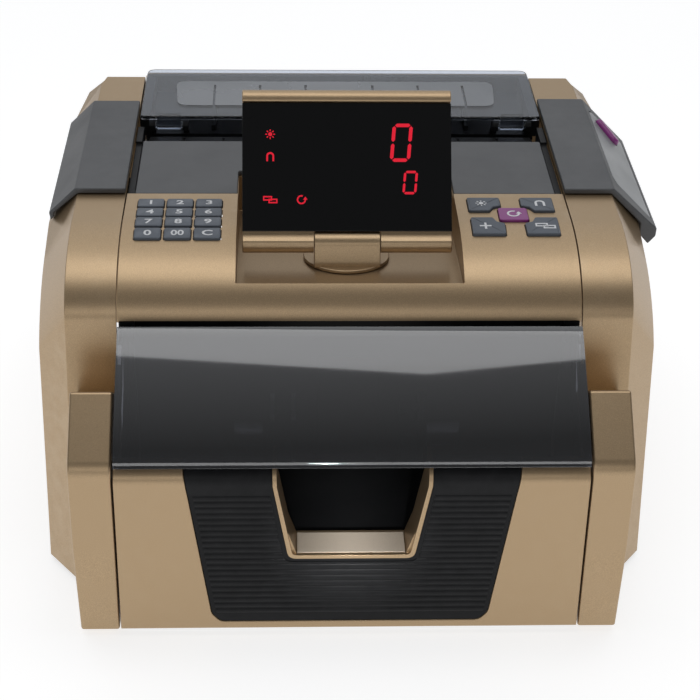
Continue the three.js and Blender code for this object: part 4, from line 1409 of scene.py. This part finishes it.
# ------------------------------------------------------------------ display
@dataclass
class Display(Assembly):
    """The tilting customer display on its turntable."""

    shift: float = -0.7
    half: float = 47.6
    tall: float = 70.0
    lean: float = 35.0
    barrel: float = 4.6
    hinge_y: float = 93.0
    hinge_z: float = 151.8
    middle: float = 15.0
    table_y: float = 100.0
    table_radius: float = 19.8
    glass: float = -4.0

    def panel_frame(self) -> Matrix:
        """Frame of the display: Y across its thickness, Z up its face."""
        return (Matrix.Translation((self.shift, self.hinge_y, self.hinge_z))
                @ Matrix.Rotation(-math.radians(self.lean), 4, "X"))

    def bay_frame(self) -> Matrix:
        """Frame of the turntable on the sloped bay floor."""
        spot = (self.shift, self.table_y, BODY.bay_floor(self.table_y) + BODY.gap)
        return Matrix.Translation(spot) @ Matrix.Rotation(-math.radians(BODY.bay_slope), 4, "X")

    def housing(self) -> bmesh.types.BMesh:
        """The gold frame with its rolled head and the hinge barrels at its foot."""
        roll = arc((-1.2, self.tall - 4.5), 4.5, -20, 200, 24)
        profile = arc((0, 0), self.barrel, 175, 340, 24) + [(4.4, 4), (5.2, 9), (5.2, self.tall - 9)]
        profile += roll[1:] + [(-2, self.tall - 6), (-2, 4.2)]
        shell = soften(slab(profile, -self.half, self.half, Axis.X), 0.5, 3, 60)
        reach = self.middle + BODY.gap
        shell = carve(shell, block((-reach, -20, -20), (reach, 20, 5.6)))
        return carve(shell, rod(1.5, -self.middle - 3, self.middle + 3, (0, 0), Axis.X, 24), Op.JOIN)

    def window(self) -> bmesh.types.BMesh:
        """The black window."""
        high = self.tall - 6.4
        outline = [(-self.half, 4.7), (self.half, 4.7), (self.half, high), (-self.half, high)]
        return soften(slab(outline, self.glass, -2.3, Axis.Y), 0.25, 2, 60)

    def segment_digit(self, x: float, z: float, wide: float, high: float,
                      stroke: float) -> list[bmesh.types.BMesh]:
        """The six lit segments of a zero, centred on (x, z) of the window."""
        gap = stroke * 0.22
        shear = 0.09
        a, b = wide / 2 - stroke / 2, high / 2 - stroke / 2
        corners = [(-a, b), (a, b), (a, 0), (a, -b), (-a, -b), (-a, 0)]
        bars = []
        for first, last in zip(corners, corners[1:] + corners[:1]):
            start, end = Vector(first), Vector(last)
            way = (end - start).normalized()
            side = Vector((-way.y, way.x)) * stroke / 2
            start, end = start + way * gap, end - way * gap
            shape = [start, start + way * stroke / 2 + side, end - way * stroke / 2 + side, end,
                     end - way * stroke / 2 - side, start + way * stroke / 2 - side]
            outline = [(x + p.x + shear * p.y, z + p.y) for p in shape]
            bars.append(slab(outline, self.glass - 0.12, self.glass + 0.1, Axis.Y))
        return bars

    def lights(self) -> bmesh.types.BMesh:
        """Every lit mark on the window."""
        bars = self.segment_digit(24.8, 45.3, 9.3, 17.6, 1.6) + self.segment_digit(28.7, 27.0, 6.4, 10.8, 1.1)
        upright = Matrix.Rotation(math.radians(90), 4, "X")
        for kind, x, z, size in ((Legend.RAYS, -34.9, 49.1, 4.4), (Legend.MAGNET, -34.9, 38.7, 4.0),
                                 (Legend.TWIN, -34.9, 19.1, 3.8), (Legend.LOOP, -20.8, 19.1, 4.2)):
            mark = symbol(kind, size, 0.2)
            bars.append(turned(mark, Matrix.Translation((x, self.glass - 0.02, z)) @ upright))
        return gathered(*bars)

    def turntable(self) -> bmesh.types.BMesh:
        """The disc, its spindle and the hinge block that carries the display."""
        bay = self.bay_frame()
        hinge = bay.inverted() @ Vector((self.shift, self.hinge_y, self.hinge_z))
        disc = soften(rod(self.table_radius, 0, 1.6, (0, 0), Axis.Z, 96), 0.5, 3, 40)
        body = carve(disc, rod(6, -8, 1, (0, 0), Axis.Z, 40), Op.JOIN)
        profile = arc((hinge.y, hinge.z), 5, 180, -20, 28) + [(hinge.y + 5.5, 1), (hinge.y - 7, 1),
                                                              (hinge.y - 7, 4)]
        support = soften(slab(profile, -self.middle, self.middle, Axis.X), 0.5, 3, 40)
        body = carve(body, support, Op.JOIN)
        body = carve(body, rod(1.9, -20, 20, (hinge.y, hinge.z), Axis.X, 24))
        return turned(body, bay)

    def build(self) -> None:
        """Builds the display's pieces."""
        panel = self.panel_frame()
        gold = self.palette["gold"]
        self.bench.finish("turntable_moulding", self.turntable(), gold, "display_base", "gold_paint",
                          ("display_turntable",))
        self.bench.finish("display_frame", turned(self.housing(), panel), gold, "display", "gold_paint",
                          ("display_housing",), 40)
        self.bench.finish("display_glass", turned(self.window(), panel), self.palette["screen"], "display",
                          "screen_glass", ("display_window",))
        self.bench.finish("display_lights", turned(self.lights(), panel), self.palette["glow"], "display",
                          "screen_glass", (), 30)


# ------------------------------------------------------------------ rear and inside
@dataclass
class Rear(Assembly):
    """The rear cover with its vents, and the power inlet."""

    inlet_x: float = 62.0
    inlet_z: float = 32.0
    vents: int = 7
    vent_pitch: float = 8.0
    vent_start: float = 40.0
    vent_tall: float = 3.0

    def cover(self) -> bmesh.types.BMesh:
        """The rear cover: rounded vent slots and the inlet's hole."""
        half = BODY.seam - BODY.gap
        cover = soften(block((-half, 276.3, BODY.foot), (half, 278, 157.4)), 0.4, 2, 60)
        x, z = self.inlet_x, self.inlet_z
        cuts = [block((x - 12.4, 270, z - 8.9), (x + 12.4, 290, z + 8.9))]
        for i in range(self.vents):
            low = self.vent_start + self.vent_pitch * i
            high = low + self.vent_tall
            slot = fillet([(-80, low), (-20, low), (-20, high), (-80, high)], 1.4, 5)
            cuts.append(slab(slot, 270, 290, Axis.Y))
        return soften(carve(cover, gathered(*cuts)), 0.25, 2, 60)

    def screws(self) -> bmesh.types.BMesh:
        """Four cross-head screws."""
        heads = []
        for x in (-94, 94):
            for z in (12, 148):
                head = soften(rod(3.0, 277.9, 278.9, (x, z), Axis.Y, 32), 0.45, 3, 40)
                cross = carve(block((x - 1.7, 278.3, z - 0.35), (x + 1.7, 280, z + 0.35)),
                              block((x - 0.35, 278.3, z - 1.7), (x + 0.35, 280, z + 1.7)), Op.JOIN)
                heads.append(carve(head, cross))
        return gathered(*heads)

    def inlet(self) -> bmesh.types.BMesh:
        """The mains inlet's rim and body with its opening."""
        x, z = self.inlet_x, self.inlet_z
        rim = soften(block((x - 14, 278.3, z - 10.5), (x + 14, 279, z + 10.5)), 0.3, 2, 60)
        body = carve(rim, block((x - 12, 264, z - 8.5), (x + 12, 278.6, z + 8.5)), Op.JOIN)
        opening = fillet([(x - 10.5, z - 6.5), (x + 10.5, z - 6.5), (x + 10.5, z + 2.5), (x + 7, z + 6.5),
                          (x - 7, z + 6.5), (x - 10.5, z + 2.5)], 0.8, 3)
        body = carve(body, slab(opening, 266, 290, Axis.Y))
        return body

    def blades(self) -> bmesh.types.BMesh:
        """The inlet's contact blades."""
        x, z = self.inlet_x, self.inlet_z
        blades = [block((x + a - 1, 265, z + b - 2), (x + a + 1, 276.5, z + b + 2))
                  for a, b in ((-6.8, -2), (0, 1.6), (6.8, -2))]
        return soften(gathered(*blades), 0.3, 2, 60)

    def build(self) -> None:
        """Builds the rear pieces."""
        self.bench.finish("rear_casing", self.cover(), self.palette["gold"], "housing", "gold_paint",
                          ("rear_cover",))
        self.bench.finish("rear_screws", self.screws(), self.palette["steel"], "housing", "steel")
        self.bench.finish("inlet_moulding", self.inlet(), self.palette["black"], "housing", "black_plastic",
                          ("power_inlet",))
        self.bench.finish("inlet_blades", self.blades(), self.palette["steel"], "housing", "steel")


@dataclass
class Inside(Assembly):
    """Finishes of the frame, the drive and the boards, and turned rollers with treads."""

    def roller(self, middle: float, radius: float, width: float, y: float, z: float,
               grooves: int) -> bmesh.types.BMesh:
        """A rubber roller with rounded shoulders and fine grooves round its tread."""
        low, high = middle - width / 2, middle + width / 2
        step = width / grooves
        tread: Outline = []
        for i in range(grooves):
            start = low + step * i
            tread += [(start + 0.15 * step, radius), (start + 0.7 * step, radius),
                      (start + 0.78 * step, radius - 0.5), (start + 0.97 * step, radius - 0.5)]
        profile = [(low, 4.3), (low, radius - 0.8)] + tread + [(high, radius - 0.8), (high, 4.3)]
        return ring(profile, (y, z), Axis.X, 64)

    def build(self) -> None:
        """Builds the rollers and dresses the carried-over pieces."""
        sets = {"pickup": ("pickup_drive", 12.0, 10.0, 240.0, 138.5, 4),
                "feed": ("feed_drive", 14.0, 16.0, 200.0, 118.0, 7)}
        for name, (body, radius, width, y, z, grooves) in sets.items():
            for side, word in ((-1, "left"), (1, "right")):
                mesh = self.roller(side * 30.0, radius, width, y, z, grooves)
                self.bench.finish(f"{name}_tyre_{word}", mesh, self.palette["rubber"], body, "rubber",
                                  (f"{name}_roller_{word}",))
        steel = ("pickup_shaft", "feed_shaft", "stacker_shaft", "drive_motor", "motor_pulley",
                 "left_frame_plate", "right_frame_plate", "base_pan", "power_supply")
        rubber = ("stacker_impeller_left", "stacker_impeller_right", "drive_belt", "foot_front_left",
                  "foot_front_right", "foot_rear_left", "foot_rear_right")
        self.dress({node: "steel" for node in steel})
        self.dress({node: "rubber" for node in rubber})
        self.dress({"control_board": "board"})


# ------------------------------------------------------------------ studio
@dataclass
class Studio:
    """Camera, lights and floor.

    The world is brightest towards bright_way and fades to front_glow where the cosine of the angle
    from it is glow_start. The overhead light has two wings, each a turn in degrees and a signed width
    in metres, which meet at one front corner; wing_power is in watts per metre of width.
    """

    bench: Workbench
    eye: tuple[float, float, float] = (-30.53, -637.88, 532.16)
    pitch: float = 30.869
    yaw: float = 2.518
    roll: float = 1.172
    lens: float = 92.95
    front_glow: float = 0.16
    rear_glow: float = 0.9
    bright_way: tuple[float, float, float] = (-0.1, 0.58, 0.81)
    wings: tuple[tuple[float, float], ...] = ((-12.7, -0.62), (19, 0.5))
    wing_corner: tuple[float, float, float] = (0.11, -0.34, 1.1)
    wing_depth: float = 0.5
    wing_power: float = 2.25
    floor_colour: Colour = (0.45, 0.45, 0.45)
    floor_glow: float = 0.74
    glow_start: float = 0.48

    def camera(self) -> None:
        """Sets the camera at the viewing angle."""
        pitch, yaw, roll = (math.radians(a) for a in (self.pitch, self.yaw, self.roll))
        ahead = Vector((math.sin(yaw) * math.cos(pitch), math.cos(yaw) * math.cos(pitch), -math.sin(pitch)))
        level = Vector((math.cos(yaw), -math.sin(yaw), 0))
        upward = level.cross(ahead)
        right = level * math.cos(roll) + upward * math.sin(roll)
        up = upward * math.cos(roll) - level * math.sin(roll)
        data = bpy.data.cameras.new("camera")
        data.lens = self.lens
        data.sensor_width = 36
        data.clip_start = 0.05
        data.clip_end = 50
        turn = Matrix((right, up, -ahead)).transposed().to_4x4()
        camera = bpy.data.objects.new("camera", data)
        camera.matrix_world = Matrix.Translation(self.bench.world(*self.eye)) @ turn
        bpy.context.scene.collection.objects.link(camera)
        bpy.context.scene.camera = camera

    def softbox(self, name: str, place: tuple[float, float, float], aim: tuple[float, float, float],
                size: tuple[float, float], power: float, spin: float = 0.0) -> None:
        """An area light that looks at a point.

        Args:
            name: its name.
            place: where it hangs, in metres.
            aim: the point it looks at, in metres.
            size: its width and height, in metres.
            power: watts.
            spin: its turn about its own axis, in radians.
        """
        data = bpy.data.lights.new(name, "AREA")
        data.shape = "RECTANGLE"
        data.size, data.size_y = size
        data.energy = power
        light = bpy.data.objects.new(name, data)
        way = Vector(aim) - Vector(place)
        aimed = way.to_track_quat("-Z", "Y").to_matrix().to_4x4()
        light.matrix_world = Matrix.Translation(place) @ aimed @ Matrix.Rotation(spin, 4, "Z")
        bpy.context.scene.collection.objects.link(light)

    def snoot(self, place: tuple[float, float, float], aim: Vector, spread: float, power: float) -> None:
        """A narrow soft-edged spot for the ledge in the finger cut-out.

        Args:
            place: where it stands, in metres.
            aim: the point it looks at, in metres.
            spread: the full angle of its cone, in degrees.
            power: watts.
        """
        data = bpy.data.lights.new("snoot", "SPOT")
        data.energy = power
        data.spot_size = math.radians(spread)
        data.spot_blend = 0.5
        data.shadow_soft_size = 0.02
        lamp = bpy.data.objects.new("snoot", data)
        way = aim - Vector(place)
        lamp.matrix_world = Matrix.Translation(place) @ way.to_track_quat("-Z", "Y").to_matrix().to_4x4()
        bpy.context.scene.collection.objects.link(lamp)

    def floor(self) -> None:
        """A wide pale floor."""
        mesh = bmesh.new()
        bmesh.ops.create_grid(mesh, x_segments=1, y_segments=1, size=6)
        data = bpy.data.meshes.new("floor")
        mesh.to_mesh(data)
        mesh.free()
        pale = bpy.data.materials.new("pale_floor")
        pale.use_nodes = True
        shader = pale.node_tree.nodes["Principled BSDF"]
        shader.inputs["Base Color"].default_value = opaque(self.floor_colour)
        shader.inputs["Roughness"].default_value = 0.7
        shader.inputs["Emission Color"].default_value = (1, 1, 1, 1)
        shader.inputs["Emission Strength"].default_value = self.floor_glow
        data.materials.append(pale)
        floor = bpy.data.objects.new("floor", data)
        bpy.context.scene.collection.objects.link(floor)

    def build(self) -> None:
        """Sets up the studio."""
        self.camera()
        self.floor()
        world = bpy.data.worlds.new("studio")
        world.use_nodes = True
        nodes = NodeTree(world.node_tree)
        way = nodes.add("ShaderNodeTexCoord").outputs["Generated"]
        lift = nodes.add("ShaderNodeVectorMath", {0: way, 1: self.bright_way},
                         operation="DOT_PRODUCT").outputs[1]
        level = nodes.add("ShaderNodeMapRange", {"Value": lift, "From Min": self.glow_start, "From Max": 1.0,
                                                 "To Min": self.front_glow,
                                                 "To Max": self.rear_glow}).outputs[0]
        world.node_tree.nodes["Background"].inputs["Color"].default_value = (0.95, 0.97, 1.0, 1)
        world.node_tree.links.new(level, world.node_tree.nodes["Background"].inputs["Strength"])
        bpy.context.scene.world = world
        bpy.context.scene.view_settings.view_transform = "Standard"
        for turn, width in self.wings:
            spin = Matrix.Rotation(math.radians(turn), 4, "Z")
            middle = Matrix.Translation(self.wing_corner) @ spin @ Vector((width / 2, self.wing_depth / 2, 0))
            self.softbox("overhead", middle, middle - Vector((0, 0, 1)), (abs(width), self.wing_depth),
                         self.wing_power * abs(width), math.radians(turn))
        self.snoot((0, -0.66, 0.27), self.bench.world(0, 9, 49), 5.2, 20)
        self.softbox("front_fill", (-0.3, -1.5, 0.62), (0, 0, 0.08), (1.5, 0.35), 2.2)


def main() -> None:
    """Builds the studio and every assembly in order."""
    logging.basicConfig(level=logging.INFO, format="%(message)s")
    bench = Workbench()
    Studio(bench).build()
    palette = Palette()
    for kind in (SideShells, TopPanel, FrontPanel, Shoulders, Hopper, Stacker, Display, KeyPads, Rear,
                 Inside):
        LOG.info("building %s", kind.__name__)
        kind(bench, palette).build()


if __name__ == "__main__":
    main()
